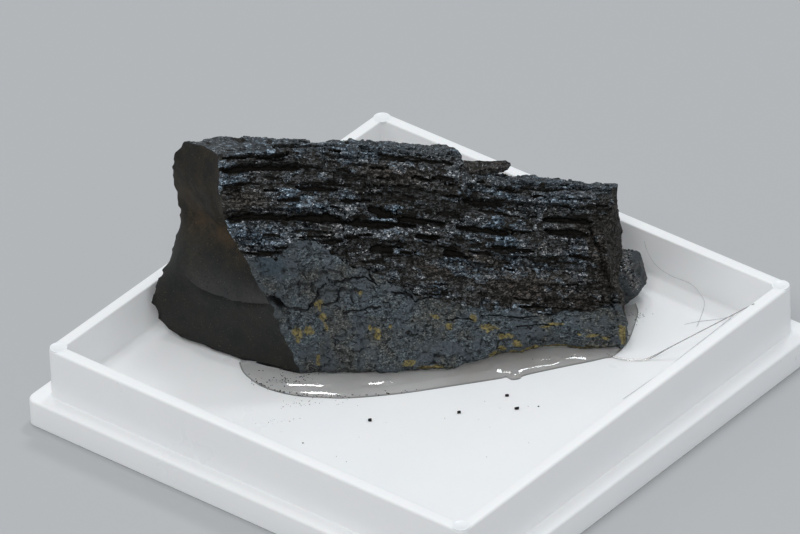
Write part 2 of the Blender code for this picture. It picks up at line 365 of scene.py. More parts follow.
def round_edge(half_side, z, towards_side, towards_z, radius):
    """Points of a quarter round at a profile corner, between its two directions."""
    edge = []
    for k in range(EDGE_POINTS):
        angle = math.pi / 2 * k / (EDGE_POINTS - 1)
        side = half_side + towards_side * radius * (1 - math.sin(angle))
        height = z + towards_z * radius * (1 - math.cos(angle))
        edge.append((side, height))
    return edge


def tray_profile():
    """(half side, corner radius, height) rings from the hollow underside to the floor."""
    wall_out = TRAY_OUT - STEP_WIDTH
    wall_in = wall_out - WALL
    step_under = STEP_TOP - WALL
    profile = [(wall_in - UNDER_INSET, UNDER_CORNER, FLOOR_TOP - WALL),
               (wall_in - UNDER_INSET, UNDER_CORNER, step_under),
               (TRAY_OUT - WALL, SKIRT_CORNER, step_under), (TRAY_OUT - WALL, SKIRT_CORNER, 0.0),
               (TRAY_OUT - FOOT_BEVEL, STEP_CORNER, 0.0), (TRAY_OUT, STEP_CORNER, FOOT_BEVEL)]
    for side, z in reversed(round_edge(TRAY_OUT, STEP_TOP, -1, -1, EDGE_ROUND)):
        profile.append((side, STEP_CORNER, z))
    profile += [(wall_out + STEP_CREASE, WALL_CORNER, STEP_TOP),
                (wall_out, WALL_CORNER, STEP_TOP + STEP_CREASE)]
    for side, z in reversed(round_edge(wall_out, TRAY_TOP, -1, -1, EDGE_ROUND)):
        profile.append((side, WALL_CORNER, z))
    for side, z in round_edge(wall_in, TRAY_TOP, 1, -1, RIM_INNER_ROUND):
        profile.append((side, INNER_CORNER, z))
    for side, z in reversed(round_edge(wall_in, FLOOR_TOP, -1, 1, FLOOR_FILLET)):
        profile.append((side, INNER_CORNER, z))
    return profile


profile = tray_profile()
tray_points = [p for side, radius, z in profile for p in rounded_square(side, radius, z)]
ring_size = 4 * (CORNER_POINTS + 1)
tray_faces = ring_faces(len(profile), ring_size)
tray_faces.append(tuple(range(ring_size)))
tray_faces.append(tuple(range(len(tray_points) - ring_size, len(tray_points))))

# %% Pin marks on the rim's corners
PIN_MARK_RADIUS = 0.88
PIN_MARK_RISE = 0.04
PIN_MARK_INSET = 0.93
PIN_MARK_POINTS = 28
# Each ring's share of the radius and of the rise: up the side, over a rim, into a dish
PIN_MARK_RINGS = ((1.0, -3.0), (1.0, 0.5), (0.95, 1.0), (0.86, 1.0), (0.80, 0.2), (0.0, 0.2))


def pin_mark(x, y, first):
    """A low round button on the rim, as rings of points that get smaller as they rise."""
    points, faces = [], []
    for scale, rise in PIN_MARK_RINGS:
        for k in range(PIN_MARK_POINTS):
            angle = 2 * math.pi * k / PIN_MARK_POINTS
            points.append((x + PIN_MARK_RADIUS * scale * math.cos(angle),
                           y + PIN_MARK_RADIUS * scale * math.sin(angle),
                           TRAY_TOP + rise * PIN_MARK_RISE))
    for face in ring_faces(len(PIN_MARK_RINGS), PIN_MARK_POINTS):
        faces.append(tuple(first + i for i in face))
    return points, faces


mark_place = TRAY_OUT - STEP_WIDTH - PIN_MARK_INSET
for sx in (-1, 1):
    for sy in (-1, 1):
        mark_points, mark_faces = pin_mark(sx * mark_place, sy * mark_place, len(tray_points))
        tray_points += mark_points
        tray_faces += mark_faces

# %% [markdown]
# The plastic is a white styrene: bright, slightly cool, with a soft shine. Real
# mouldings are never perfectly even, so a broad noise varies the shine, and a very
# faint bump stops the flat walls from looking like paper.

# %% White moulded plastic
def white_plastic():
    """Bright, slightly cool white with an uneven soft shine."""
    mat, tree, shader = new_material("white moulded plastic")
    where = object_place(tree)
    cloudy = noise_texture(tree, where, 90.0)
    grain = noise_texture(tree, where, 1400.0, detail=2.0)
    tint = ramp(tree, cloudy, (0.3, (0.905, 0.918, 0.930)), (0.7, (0.930, 0.938, 0.945)))
    join(tree, tint, shader.inputs["Base Color"])
    join(tree, ramp(tree, cloudy, (0.35, 0.27), (0.7, 0.38)), shader.inputs["Roughness"])
    join(tree, bump(tree, grain, 0.06, 0.00003), shader.inputs["Normal"])
    set_inputs(shader, IOR=1.5, Subsurface_Weight=0.06, Subsurface_Scale=0.001)
    return mat


tray = make_piece("tray_moulding", tray_points, tray_faces, "tray", white_plastic())
tray.data.shade_smooth()
tray.data.set_sharp_from_angle(angle=math.radians(32))
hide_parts("tray")

# %% [markdown]
# ## The stone's main form
#
# The stone lies along the tray's diagonal. It is described in its own frame, in
# millimetres: x along its length, y towards its hidden back, z up from the tray's
# floor. Rails run along it, like the stringers of a boat, and a cross-section at any
# place joins one point of each rail. This is the same form as the CAD stone, so the
# fine surface made here sits on it.

# %% Rails of the stone, in millimetres
STONE_TURN = math.radians(40.0)
STATIONS = np.array((0.0, 0.2, 0.45, 0.62, 0.64, 0.8, 1.0))

# Name, left end, the (y, z) of the five inner points, right end
RAILS = (
    ("front foot", (-12.1, -2.0, 0.3),
     ((-1.8, 0.3), (-1.0, 0.3), (-0.4, 0.3), (-0.4, 0.3), (0.2, 0.3)), (20.0, 0.7, 0.3)),
    ("low band", (-13.6, -2.2, 4.6),
     ((-2.1, 3.9), (-1.7, 3.1), (-0.9, 2.4), (-0.9, 2.4), (-0.1, 2.0)), (20.6, 0.6, 2.0)),
    ("middle band", (-15.3, -1.9, 8.8),
     ((-1.8, 7.6), (-1.5, 5.7), (-0.8, 4.3), (-0.8, 4.2), (0.0, 3.4)), (20.5, 0.7, 3.1)),
    ("shoulder", (-17.0, -1.2, 13.1),
     ((-1.0, 11.8), (-0.9, 8.1), (-0.3, 6.2), (-0.3, 6.1), (0.6, 4.8)), (19.9, 1.2, 4.5)),
    ("lower face", (-18.8, 0.8, 16.2),
     ((1.2, 14.9), (1.2, 11.8), (1.7, 9.6), (1.7, 9.4), (2.4, 8.1)), (19.2, 2.9, 7.2)),
    ("upper face", (-19.4, 3.6, 19.1),
     ((4.2, 18.1), (4.2, 15.6), (4.4, 13.8), (4.4, 13.1), (4.9, 12.1)), (18.2, 5.2, 10.9)),
    ("crest front", (-19.5, 6.4, 21.0),
     ((7.2, 20.2), (7.2, 19.1), (7.2, 18.0), (7.2, 16.0), (7.5, 14.7)), (18.8, 7.8, 13.3)),
    ("crest back", (-22.5, 9.6, 20.3),
     ((9.6, 20.2), (9.6, 18.9), (9.6, 18.1), (9.6, 15.8), (9.6, 14.6)), (19.1, 9.6, 13.2)),
    ("back top", (-23.9, 10.6, 15.7),
     ((13.2, 17.0), (13.5, 15.5), (13.5, 14.0), (13.5, 13.0), (13.2, 11.5)), (19.8, 12.0, 10.0)),
    ("back waist", (-23.5, 10.4, 10.3),
     ((15.0, 11.5), (16.2, 10.5), (16.0, 9.5), (16.0, 9.0), (15.4, 8.0)), (20.0, 12.8, 6.5)),
    ("back low", (-24.9, 8.6, 6.7),
     ((14.0, 6.0), (15.8, 5.5), (15.8, 5.0), (15.8, 5.0), (14.8, 4.2)), (20.2, 12.4, 3.5)),
    ("back foot", (-26.6, 6.0, 4.6),
     ((12.0, 1.8), (14.0, 0.6), (14.0, 0.5), (14.0, 0.5), (13.4, 0.5)), (20.0, 11.0, 0.5)),
    ("underside back", (-25.5, 5.6, 1.2),
     ((9.0, 0.6), (10.0, 0.4), (10.0, 0.4), (10.0, 0.4), (9.5, 0.4)), (19.8, 8.5, 0.4)),
    ("underside middle", (-23.0, 3.6, 0.6),
     ((5.2, 0.4), (6.0, 0.4), (6.0, 0.4), (6.0, 0.4), (6.0, 0.4)), (19.9, 5.5, 0.4)),
    ("underside front", (-17.8, 0.6, 0.3),
     ((1.6, 0.3), (2.2, 0.3), (2.6, 0.3), (2.6, 0.3), (3.0, 0.3)), (20.0, 2.8, 0.3)),
)
RAIL = {name: number for number, (name, _, _, _) in enumerate(RAILS)}


def through(values, t):
    """A smooth curve through the station values that never overshoots them."""
    values = np.array(values, float)
    width = np.diff(STATIONS)
    slope = np.diff(values) / width
    tangent = np.zeros(len(values))
    tangent[0], tangent[-1] = slope[0], slope[-1]
    for k in range(1, len(values) - 1):
        if slope[k - 1] * slope[k] > 0:
            tangent[k] = 2 * slope[k - 1] * slope[k] / (slope[k - 1] + slope[k])
    k = np.clip(np.searchsorted(STATIONS, t) - 1, 0, len(width) - 1)
    u = (t - STATIONS[k]) / width[k]
    return ((2 * u**3 - 3 * u**2 + 1) * values[k]
            + (u**3 - 2 * u**2 + u) * width[k] * tangent[k]
            + (3 * u**2 - 2 * u**3) * values[k + 1]
            + (u**3 - u**2) * width[k] * tangent[k + 1])


def rail_points(t):
    """The rails' points at each t: an array of t, rail and coordinate."""
    t = np.atleast_1d(t)
    points = np.zeros((len(t), len(RAILS), 3))
    for number, (_, left, inner, right_end) in enumerate(RAILS):
        points[:, number, 0] = left[0] + (right_end[0] - left[0]) * t
        for axis in (1, 2):
            values = [left[axis]] + [p[axis - 1] for p in inner] + [right_end[axis]]
            points[:, number, axis] = through(values, t)
    return points


def round_curve(a, b, c, d, u):
    """A curve from b to c, with a before and d after it; u goes from 0 to 1."""
    return 0.5 * (2 * b + (c - a) * u + (2 * a - 5 * b + 4 * c - d) * u**2
                  + (3 * b - a - 3 * c + d) * u**3)


def around(rails, rows):
    """Points at fractional rail numbers, half way between straight and round sides."""
    count = rails.shape[1]
    k = np.floor(rows).astype(int)
    u = (rows - k)[None, :, None]
    before, start, end, after = (rails[:, (k + step) % count] for step in (-1, 0, 1, 2))
    return 0.5 * (round_curve(before, start, end, after, u) + start + (end - start) * u)


# %% [markdown]
# The surface needs far more points where the camera and the grain are than on the
# hidden underside. Rows of points run along the grain, so they are closest across it.

# %% The stone's grid of points
COLUMNS = 312
ROW_STEP = {"front foot": 0.17, "low band": 0.16, "middle band": 0.155, "shoulder": 0.145,
            "lower face": 0.145, "upper face": 0.145, "crest front": 0.16,
            "crest back": 0.26, "back top": 0.42, "back waist": 0.42, "back low": 0.32,
            "back foot": 0.5, "underside back": 1.2, "underside middle": 1.2,
            "underside front": 0.6}
MIDDLE = 0.45

middle_rails = rail_points(MIDDLE)[0]
side_lengths = np.linalg.norm(np.roll(middle_rails, -1, axis=0) - middle_rails, axis=1)
climbed = np.concatenate(([0.0], np.cumsum(side_lengths)))
climbed -= climbed[RAIL["shoulder"]]
rows = []
for number, (name, _, _, _) in enumerate(RAILS):
    count = max(2, round(side_lengths[number] / ROW_STEP[name]))
    rows += [number + k / count for k in range(count)]
rows = np.array(rows)
row_height = np.interp(rows, range(len(climbed)), climbed)
columns = np.linspace(0.0, 1.0, COLUMNS + 1)
base = around(rail_points(columns), rows)
height = np.broadcast_to(row_height, base.shape[:2])
print("stone grid:", base.shape[0], "columns by", base.shape[1], "rows")

# %% [markdown]
# The rails alone give a form that is a little too plain. A few soft pushes bring its
# outline to that of the real stone: the head of the left end bulges, the crest has its
# high stretch and its step, and the foot spreads towards the viewer. Each push fades
# out by a smooth step or by a bell curve, so it leaves no edge.

# %% Small corrections to the outline
def smooth_step(value, low, high):
    """0 below the low value, 1 above the high one, and an even S between them."""
    u = np.clip((value - low) / (high - low), 0.0, 1.0)
    return u * u * (3 - 2 * u)


def bell(value, middle, half_width):
    """1 at the middle, fading to nothing about two half widths away."""
    return np.exp(-((value - middle) / half_width) ** 2)


at_left = bell(columns, 0.0, 0.05)[:, None]
at_right = bell(1 - columns, 0.0, 0.06)[:, None]
x_base, y_base, z_base = (base[..., axis].copy() for axis in range(3))
# The ends: the left one's head, the right one's crest, the left one's shoulder
base[..., 0] -= 0.45 * bell(z_base, 17.8, 2.0) * at_left * smooth_step(y_base, 8.3, 10.0)
base[..., 0] += 0.80 * bell(z_base, 13.0, 1.9) * at_right
base[..., 2] += 0.30 * bell(x_base, -18.8, 2.2) * smooth_step(z_base, 19.0, 20.4)
base[..., 0] += 0.40 * bell(z_base, 8.6, 2.6) * at_left * (1 - smooth_step(y_base, -0.5, 2.0))
# The foot spreads towards the viewer: how far, at places along x
FOOT_X = (-18.0, -12.0, -7.0, -2.0, 2.7, 5.6, 7.6, 11.0, 17.0, 20.0)
FOOT_OUT = (0.2, 0.6, 1.0, 1.4, 1.9, 1.2, 0.1, -0.4, 0.4, 0.8)
on_front = 1 - smooth_step(y_base, 0.5, 2.5)
base[..., 1] -= np.interp(x_base, FOOT_X, FOOT_OUT) * on_front * (1 - smooth_step(z_base, 0.5, 3.6))
# The crest: its left corner, the layer right of its step, its high stretch, the step
base[..., 2] += (0.30 * bell(x_base, -18.2, 2.6) * smooth_step(y_base, 8.3, 9.5)
                 * smooth_step(z_base, 18.5, 19.8))
base[..., 2] += (0.55 * smooth_step(x_base, 4.6, 5.2) * (1 - smooth_step(x_base, 7.4, 9.6))
                 * smooth_step(z_base, 12.5, 15.2))
base[..., 2] += (0.65 * smooth_step(x_base, -10.0, -7.0) * (1 - smooth_step(x_base, 3.4, 4.8))
                 * smooth_step(z_base, 14.8, 17.8))
base[..., 0] += 0.6 * bell(x_base, 4.7, 1.3) * smooth_step(z_base, 13.5, 15.5)
at_break = bell(columns, 0.0, 0.02)[:, None]
at_rough_end = bell(1 - columns, 0.0, 0.03)[:, None]


# %% Outward direction at every point of the grid
def outward_directions(grid):
    """The direction that points out of the stone, square to its surface."""
    lengthwise = np.gradient(grid, axis=0)
    crosswise = np.roll(grid, -1, axis=1) - np.roll(grid, 1, axis=1)
    out = np.cross(crosswise, lengthwise)
    out /= np.maximum(np.linalg.norm(out, axis=2, keepdims=True), 1e-9)
    middle = grid.mean(axis=1, keepdims=True)
    if (out * (grid - middle)).sum() < 0:
        out = -out
    return out


outward = outward_directions(base)

# %% [markdown]
# ## Random, but the same every time
#
# A broken stone is random at every size. Random numbers here come from a scatter
# function: it turns whole numbers into a number from 0 to 1 that looks random but is
# the same in each run. Blended between the corners of a lattice it gives soft hills.

# %% Scatter and soft hills
def scatter(*cells):
    """A repeatable number from 0 to 1 for each combination of whole numbers."""
    mixed = np.zeros(np.broadcast(*[np.asarray(c) for c in cells]).shape, dtype=np.uint64)
    for cell, factor in zip(cells, (374761393, 668265263, 2246822519, 3266489917)):
        whole = np.asarray(cell).astype(np.int64) + 100000
        mixed = (mixed ^ (whole.astype(np.uint64) * np.uint64(factor))) & np.uint64(0xFFFFFFFF)
        mixed = ((mixed ^ (mixed >> np.uint64(15))) * np.uint64(2654435761)) & np.uint64(0xFFFFFFFF)
        mixed = mixed ^ (mixed >> np.uint64(13))
    return mixed.astype(float) / 0xFFFFFFFF


def hills(points, size, seed=0):
    """Soft random hills from -1 to 1, about as wide as the size."""
    place = np.asarray(points) / size
    cell = np.floor(place)
    f = place - cell
    f = f * f * (3 - 2 * f)
    total = 0.0
    for dx in (0, 1):
        for dy in (0, 1):
            for dz in (0, 1):
                weight = (np.abs(1 - dx - f[..., 0]) * np.abs(1 - dy - f[..., 1])
                          * np.abs(1 - dz - f[..., 2]))
                total = total + weight * scatter(cell[..., 0] + dx, cell[..., 1] + dy,
                                                 cell[..., 2] + dz, seed)
    return 2 * total - 1


def lumps(points, size, rise):
    """The CAD stone's own lumps, from Blender's noise."""
    flat = points.reshape(-1, 3)
    values = np.array([noise.noise(Vector(p) / size) for p in flat])
    return values.reshape(points.shape[:-1]) * rise


# %% Ragged borders of the two ends
at_back = smooth_step(y_base, 3.0, 6.0) * (1 - smooth_step(z_base, 6.0, 10.0))
base[..., 0] += ((0.18 + 0.16 * at_back) * hills(base, 0.9, 18)
                 + (0.13 + 0.17 * at_back) * hills(base, 0.42, 19)) * at_break
base[..., 0] += (0.35 * hills(base, 1.2, 20) + 0.20 * hills(base, 0.4, 23)) * at_rough_end

# %% [markdown]
# ## Ledges
#
# The stone is built of thin layers that lie along its length, and its face broke
# across them, which left a stair of ledges. Four sizes are laid over each other: the
# shelves of the CAD stone, then flakes about three quarters, a third and a fifth of a
# millimetre thick. Each size is a wall of irregular bricks, and every brick stands out
# and tilts by its own amount. The layers' edges are wavy, never ruled.

# %% Shelves and their blocks, as on the CAD stone
SHELF_TOPS = np.array((1.6, 3.2, 4.6, 5.8, 7.1, 8.4, 9.7, 11.1, 12.5, 13.8, 15.2))
LEDGE_SEED = 11
LEDGE_DEPTH = 0.75


def shelf_blocks():
    """For each shelf its blocks, as (right end along x, how far it stands out)."""
    dice = random.Random(LEDGE_SEED)
    shelves = []
    for _ in range(len(SHELF_TOPS) + 1):
        x, blocks = -24.0, []
        while x < 22.0:
            x += dice.uniform(2.5, 9.0)
            blocks.append((x, dice.uniform(-0.8, 0.45) * LEDGE_DEPTH))
        shelves.append(blocks)
    shelves[-1] = [(x, 0.35 * depth) for x, depth in shelves[-1]]
    return shelves


def shelf_relief(x, h):
    """How far each point's block stands out, and how far up its shelf the point is."""
    edges = np.concatenate(([-0.01], SHELF_TOPS, [climbed[RAIL["crest back"]] + 3.0]))
    number = np.clip(np.searchsorted(edges, h) - 1, 0, len(SHELF_TOPS))
    up_shelf = (h - edges[number]) / (edges[number + 1] - edges[number])
    depth = np.zeros_like(x)
    for shelf, blocks in enumerate(shelf_blocks()):
        ends = np.array([end for end, _ in blocks])
        depths = np.array([d for _, d in blocks])
        block = np.clip(np.searchsorted(ends, x), 0, len(ends) - 1)
        depth = np.where(number == shelf, depths[block], depth)
    return depth, up_shelf


# %% Flakes and grains
def flakes(x, h, thickness, length, seed):
    """A wall of irregular bricks: how far each point's tilted brick stands out."""
    layer = np.floor(h / thickness)
    span = length * (0.5 + scatter(layer, 1, seed))
    place = x / span + 9.0 * scatter(layer, 2, seed)
    brick = np.floor(place)
    number = scatter(layer, brick, seed)
    tilt_along = scatter(layer, brick, seed + 50) - 0.5
    tilt_up = scatter(layer, brick, seed + 70)
    tilt = 1.2 * tilt_along * (place - brick - 0.5) + 0.8 * tilt_up * (0.5 - h / thickness + layer)
    return number - 0.5 + tilt


# %% [markdown]
# ## Recesses
#
# Where a whole run of layers has fallen out, a long dark recess is left, with ragged
# tapering ends. Its roof is sharp and its floor slopes out to the ledge below. The
# large ones are placed one by one, as start and end along x, height up the face,
# thickness and depth. Over a hundred small ones are strewn between them.

# %% Deep recesses between the ledges
RECESSES = (
    (-19.0, -12.6, 5.5, 0.95, 1.2), (-13.4, -6.8, 6.1, 0.95, 1.2), (-7.9, 0.5, 7.0, 0.75, 1.0),
    (-19.4, -11.2, 11.5, 1.0, 1.1), (-19.4, -17.0, 9.4, 0.3, 0.5), (-19.2, -12.6, 13.1, 0.6, 0.7),
    (-11.9, -7.2, 9.6, 0.6, 0.8), (-16.3, -13.2, 1.5, 0.6, 0.6), (-8.7, -5.8, 10.1, 0.6, 0.7),
    (-8.0, -4.6, 8.3, 0.4, 0.6), (-5.1, -2.0, 8.2, 0.8, 1.1), (-5.0, -1.8, 7.1, 0.6, 0.9),
    (-1.9, 2.4, 8.0, 0.8, 1.0), (-4.7, -1.9, 4.5, 1.0, 1.0), (-0.2, 2.3, 6.5, 0.5, 0.8),
    (2.0, 4.6, 5.4, 0.9, 1.0), (2.1, 4.5, 9.3, 0.5, 0.7), (4.2, 9.0, 11.4, 0.8, 0.9),
    (3.7, 9.1, 8.7, 0.7, 0.9), (-2.6, 1.8, 10.8, 0.4, 0.6), (7.5, 11.3, 6.9, 0.5, 0.7),
    (5.8, 11.4, 10.6, 0.35, 0.5), (10.4, 15.4, 14.5, 1.1, 0.9), (12.2, 17.2, 10.1, 1.0, 1.1),
    (12.5, 17.2, 8.6, 0.75, 1.0), (15.1, 17.4, 6.0, 0.4, 0.6), (9.8, 12.4, 0.5, 0.5, 0.6),
    (7.9, 11.3, 8.8, 0.35, 0.5), (-13.8, -8.0, 14.8, 0.35, 0.45), (-4.0, 3.5, 13.5, 0.4, 0.5),
)
SMALL_RECESSES = 120


def all_recesses():
    """Every recess as start, end, bedding height, thickness and depth."""
    found = [(start, end, bedding_at((start + end) / 2, h), thick, deep)
             for start, end, h, thick, deep in RECESSES]
    dice = random.Random(29)
    for _ in range(SMALL_RECESSES):
        start, bed = dice.uniform(-19.4, 17.5), dice.uniform(0.6, 16.2)
        found.append((start, start + dice.uniform(0.7, 3.2), bed,
                      dice.uniform(0.16, 0.42), dice.uniform(0.25, 0.6)))
    return found


def recess_relief(x, bed):
    """How much each point belongs to a recess, from 0 to 1, and how deep it lies there."""
    share, fall = np.zeros_like(x), np.zeros_like(x)
    for start, end, middle, thick, deep in all_recesses():
        u = (x - start) / (end - start)
        half = 0.5 * thick * np.sqrt(np.clip(1.0 - np.abs(2 * u - 1) ** 3, 0.0, 1.0)) + 1e-6
        v = (bed - middle) / half
        inside = (smooth_step(v, -1.1, 0.1) * (1 - smooth_step(v, 0.8, 1.05))
                  * ((u > 0) & (u < 1)))
        share = np.maximum(share, inside)
        fall = np.maximum(fall, inside * deep)
    return share, fall


# %% [markdown]
# ## Skin, cracks and the right end's crevice
#
# Low on the front the layers are hidden by a smooth slate-grey skin. It has dried and
# shrunk, so dark cracks wander over it. Each crack is a short route of points on the
# face, given as x and height. What is kept for each mesh point is its signed distance
# from the nearest crack: between two points on opposite sides it passes through zero,
# so the material can draw a line much finer than the mesh.

# %% Where the skin ends and the ledges begin
SKIN_EDGE_X = (-17.0, -14.6, -13.8, -12.8, -9.5, -7.6, -5.3, -1.9, 1.0, 7.9, 13.8, 20.0)
SKIN_EDGE_HEIGHT = (0.0, 0.9, 1.1, 2.7, 2.8, 1.7, 1.1, 0.8, 0.0, -0.2, -0.7, -0.5)


def skin_share(points, x, h):
    """1 on the grey skin, 0 on the ledges, with a ragged edge between."""
    ragged = 0.6 * hills(points, 1.3, 21) + 0.45 * hills(points, 0.5, 22)
    edge = np.interp(x, SKIN_EDGE_X, SKIN_EDGE_HEIGHT) + ragged
    return 1.0 - smooth_step(h, edge - 0.12, edge + 0.12)


# %% Cracks in the skin
CRACKS = (
    ((-13.7, -3.1), (-12.2, -3.2), (-11.0, -3.2), (-10.5, -2.6), (-10.0, -1.7), (-9.1, -1.0)),
    ((-9.8, -2.7), (-8.8, -2.5), (-8.1, -2.2), (-8.0, -1.7), (-7.5, -1.2)),
    ((-8.2, -0.9), (-7.0, -0.5)),
    ((-7.6, -3.2), (-6.0, -2.8), (-5.5, -2.6), (-3.8, -2.1)),
    ((-3.6, -1.7), (-3.0, -1.5)),
    ((-2.8, -0.4), (-1.5, -0.1)),
    ((-1.3, 1.1), (-1.2, 0.1), (-0.5, -0.7), (0.2, -0.1), (1.4, 0.2), (2.3, 0.2), (2.8, 1.0)),
    ((2.6, -2.8), (3.8, -2.3), (5.5, -2.4)),
    ((-8.4, -1.0), (-6.6, -0.2), (-5.2, 0.4), (-4.2, -0.1), (-4.7, 0.7), (-5.2, 2.0)),
    ((-4.3, 1.3), (-1.9, 1.7), (-1.2, 1.4), (-0.1, 1.5)),
    ((-8.1, -1.4), (-7.9, -2.1)),
    ((6.0, -1.6), (8.2, -1.2), (10.0, -1.4), (11.6, -1.0)),
    ((9.5, -3.0), (12.0, -2.6), (13.2, -3.1)),
)
NOTCH = ((-15.4, -2.55), (-14.3, -2.7), (-13.7, -3.05))
CREVICE = ((17.3, 9.6), (17.9, 7.6), (18.6, 4.3), (19.3, 0.4))


def distance_to(route, x, h):
    """Distance on the face from each point to a route of straight pieces."""
    best = np.full(x.shape, 1e3)
    for (x0, h0), (x1, h1) in zip(route, route[1:]):
        along = (x - x0) * (x1 - x0) + (h - h0) * (h1 - h0)
        u = np.clip(along / ((x1 - x0) ** 2 + (h1 - h0) ** 2), 0.0, 1.0)
        best = np.minimum(best, np.hypot(x - x0 - u * (x1 - x0), h - h0 - u * (h1 - h0)))
    return best


def signed_distance_to(route, x, h):
    """Distance to a route, negative on its right side; positive all round its ends."""
    best = np.full(x.shape, 1e3)
    for (x0, h0), (x1, h1) in zip(route, route[1:]):
        length = math.hypot(x1 - x0, h1 - h0)
        u = ((x - x0) * (x1 - x0) + (h - h0) * (h1 - h0)) / length ** 2
        across = ((x1 - x0) * (h - h0) - (h1 - h0) * (x - x0)) / length
        near = np.clip(u, 0.0, 1.0)
        round_end = np.hypot(x - x0 - near * (x1 - x0), h - h0 - near * (h1 - h0))
        here = np.where((u >= 0) & (u <= 1), across, np.where(across < 0, -round_end, round_end))
        best = np.where(np.abs(here) < np.abs(best), here, best)
    (xs, hs), (xe, he) = route[0], route[-1]
    beyond = (((x - xs) * (route[1][0] - xs) + (h - hs) * (route[1][1] - hs) < 0)
              | ((x - xe) * (route[-2][0] - xe) + (h - he) * (route[-2][1] - he) < 0))
    return np.where(beyond & (np.abs(best) < 1.0), np.abs(best) + 0.05, best)


CRACK_REACH = 0.4


def crack_distance(points, x, h):
    """Signed distance to the nearest crack, no further than the reach."""
    wander_x = x + 0.14 * hills(points, 0.45, 31) + 0.05 * hills(points, 0.2, 33)
    wander_h = h + 0.14 * hills(points, 0.4, 32) + 0.05 * hills(points, 0.2, 34)
    nearest = np.full(x.shape, CRACK_REACH)
    for route in CRACKS:
        here = signed_distance_to(route, wander_x, wander_h)
        nearest = np.where(np.abs(here) < np.abs(nearest), here, nearest)
    return nearest


# %% [markdown]
# ## Bedding
#
# The rows of the grid fan out towards the left, but the stone's layers don't: they run
# parallel to its crest and dip a third of a right angle towards the viewer. So the
# ledges are laid out by a bedding height of their own, measured across the layers, and
# the grey skin's edge cuts through them at a slant.

# %% Bedding height and warped coordinates
BEDDING_DIP = math.radians(34.0)
# Bedding height of the crest layer at places along x, as if its step weren't there
CREST_X = (-24.0, -19.5, -10.0, -2.0, 4.0, 11.0, 19.5)
CREST_BED = (21.0, 20.9, 20.6, 19.8, 18.9, 18.0, 17.0)

x_place = base[..., 0]
across_layers = base[..., 2] * math.cos(BEDDING_DIP) + base[..., 1] * math.sin(BEDDING_DIP)
crest_row = int(np.argmin(np.abs(rows - RAIL["crest front"])))
crest_height = climbed[RAIL["crest front"]]
below_crest = np.interp(x_place, CREST_X, CREST_BED) - across_layers
missing = below_crest[:, crest_row:crest_row + 1]
bedding = np.where(height < crest_height, crest_height - below_crest, height - missing)

stretched = base * (0.35, 1.0, 1.0)
wavy = bedding + 0.34 * hills(stretched, 1.8, 1) + 0.12 * hills(stretched, 0.6, 2)
wavy = wavy + 0.04 * hills(base, 0.3, 12)
ragged_x = x_place + 0.35 * hills(base, 0.8, 3) + 0.05 * hills(base, 0.25, 13)


def bedding_at(x, h):
    """Bedding height of the face point at x along the stone and h up the face."""
    row = int(np.argmin(np.abs(row_height - h)))
    return float(np.interp(x, x_place[:, row], bedding[:, row]))


front = (height > climbed[0]) & (height < climbed[RAIL["crest back"]] + 0.01)
on_back = smooth_step(height, climbed[RAIL["crest back"]], climbed[RAIL["back top"]])
skin = skin_share(base, x_place, height)

# %% [markdown]
# ## Carving the stone
#
# Now everything is added up as one number per point: how far it moves outward. The
# front carries ledges and skin, the back and underside only lumps and faint layers.
# Some of the same numbers are kept for the materials, which need them to darken the
# recesses and cracks.

# %% Relief of the ledges
def patches(x, h, places):
    """Soft spots at (x, height, half width, half height), each 1 at its middle."""
    share = np.zeros_like(x)
    for px, ph, wide, tall in places:
        share = np.maximum(share, np.exp(-((x - px) / wide) ** 2 - ((h - ph) / tall) ** 2))
    return share


CRYSTAL_PATCH = (-15.7, 3.2, 2.7, 1.5)
# Thickness and length of the flakes of each size
COARSE_FLAKE, FINE_FLAKE, GRAIN_FLAKE = (0.74, 2.2), (0.33, 0.8), (0.22, 0.34)

block, up_shelf = shelf_relief(ragged_x, wavy)
coarse = flakes(ragged_x, wavy, *COARSE_FLAKE, 41)
fine = flakes(ragged_x, wavy + 0.15 * hills(base, 0.8, 4), *FINE_FLAKE, 42)
recess, recess_fall = recess_relief(ragged_x + 0.9 * coarse, wavy + 0.16 * fine + 0.10 * coarse)
grain_x, grain_height = ragged_x + 0.1 * hills(base, 0.3, 14), wavy + 0.1 * hills(base, 0.4, 15)
grain = flakes(grain_x, grain_height, *GRAIN_FLAKE, 44)
lip = smooth_step(hills(stretched, 2.2, 16), -0.4, 0.4)
steps = 0.26 * coarse + 0.15 * fine
calm = 1 - 0.65 * smooth_step(height, 13.2, 14.2)
grains = calm * (0.11 * grain + 0.05 * (scatter(*np.indices(x_place.shape), 7) - 0.5))
layered = block + 0.30 * lip * (0.5 - up_shelf) + steps + 0.10 * hills(base, 0.9, 17)
crystal_patch = patches(x_place, height, (CRYSTAL_PATCH,))
layered = layered * (1 - 0.7 * recess) - recess_fall
layered = layered + grains * (1 - 0.6 * recess) * (1 + 0.9 * crystal_patch)

# %% Relief of the skin and of the back
crack_line = crack_distance(base, x_place, height)
crack = bell(crack_line, 0.0, 0.10)
plate_x, plate_h = x_place + 0.5 * hills(base, 1.1, 6), height + 0.5 * hills(base, 1.4, 7)
plates = flakes(plate_x, plate_h, 1.1, 2.4, 43)
scales = flakes(plate_x, plate_h, 0.35, 0.6, 45)
pitting = smooth_step(hills(base, 0.42, 46), 0.35, 0.7)
skin_relief = lumps(base, 3.0, 0.35) + 0.14 * plates + 0.07 * scales + 0.05 * hills(base, 0.5, 8)
skin_relief = skin_relief + 0.05 * hills(base, 0.2, 9) - 0.15 * pitting - 0.20 * crack

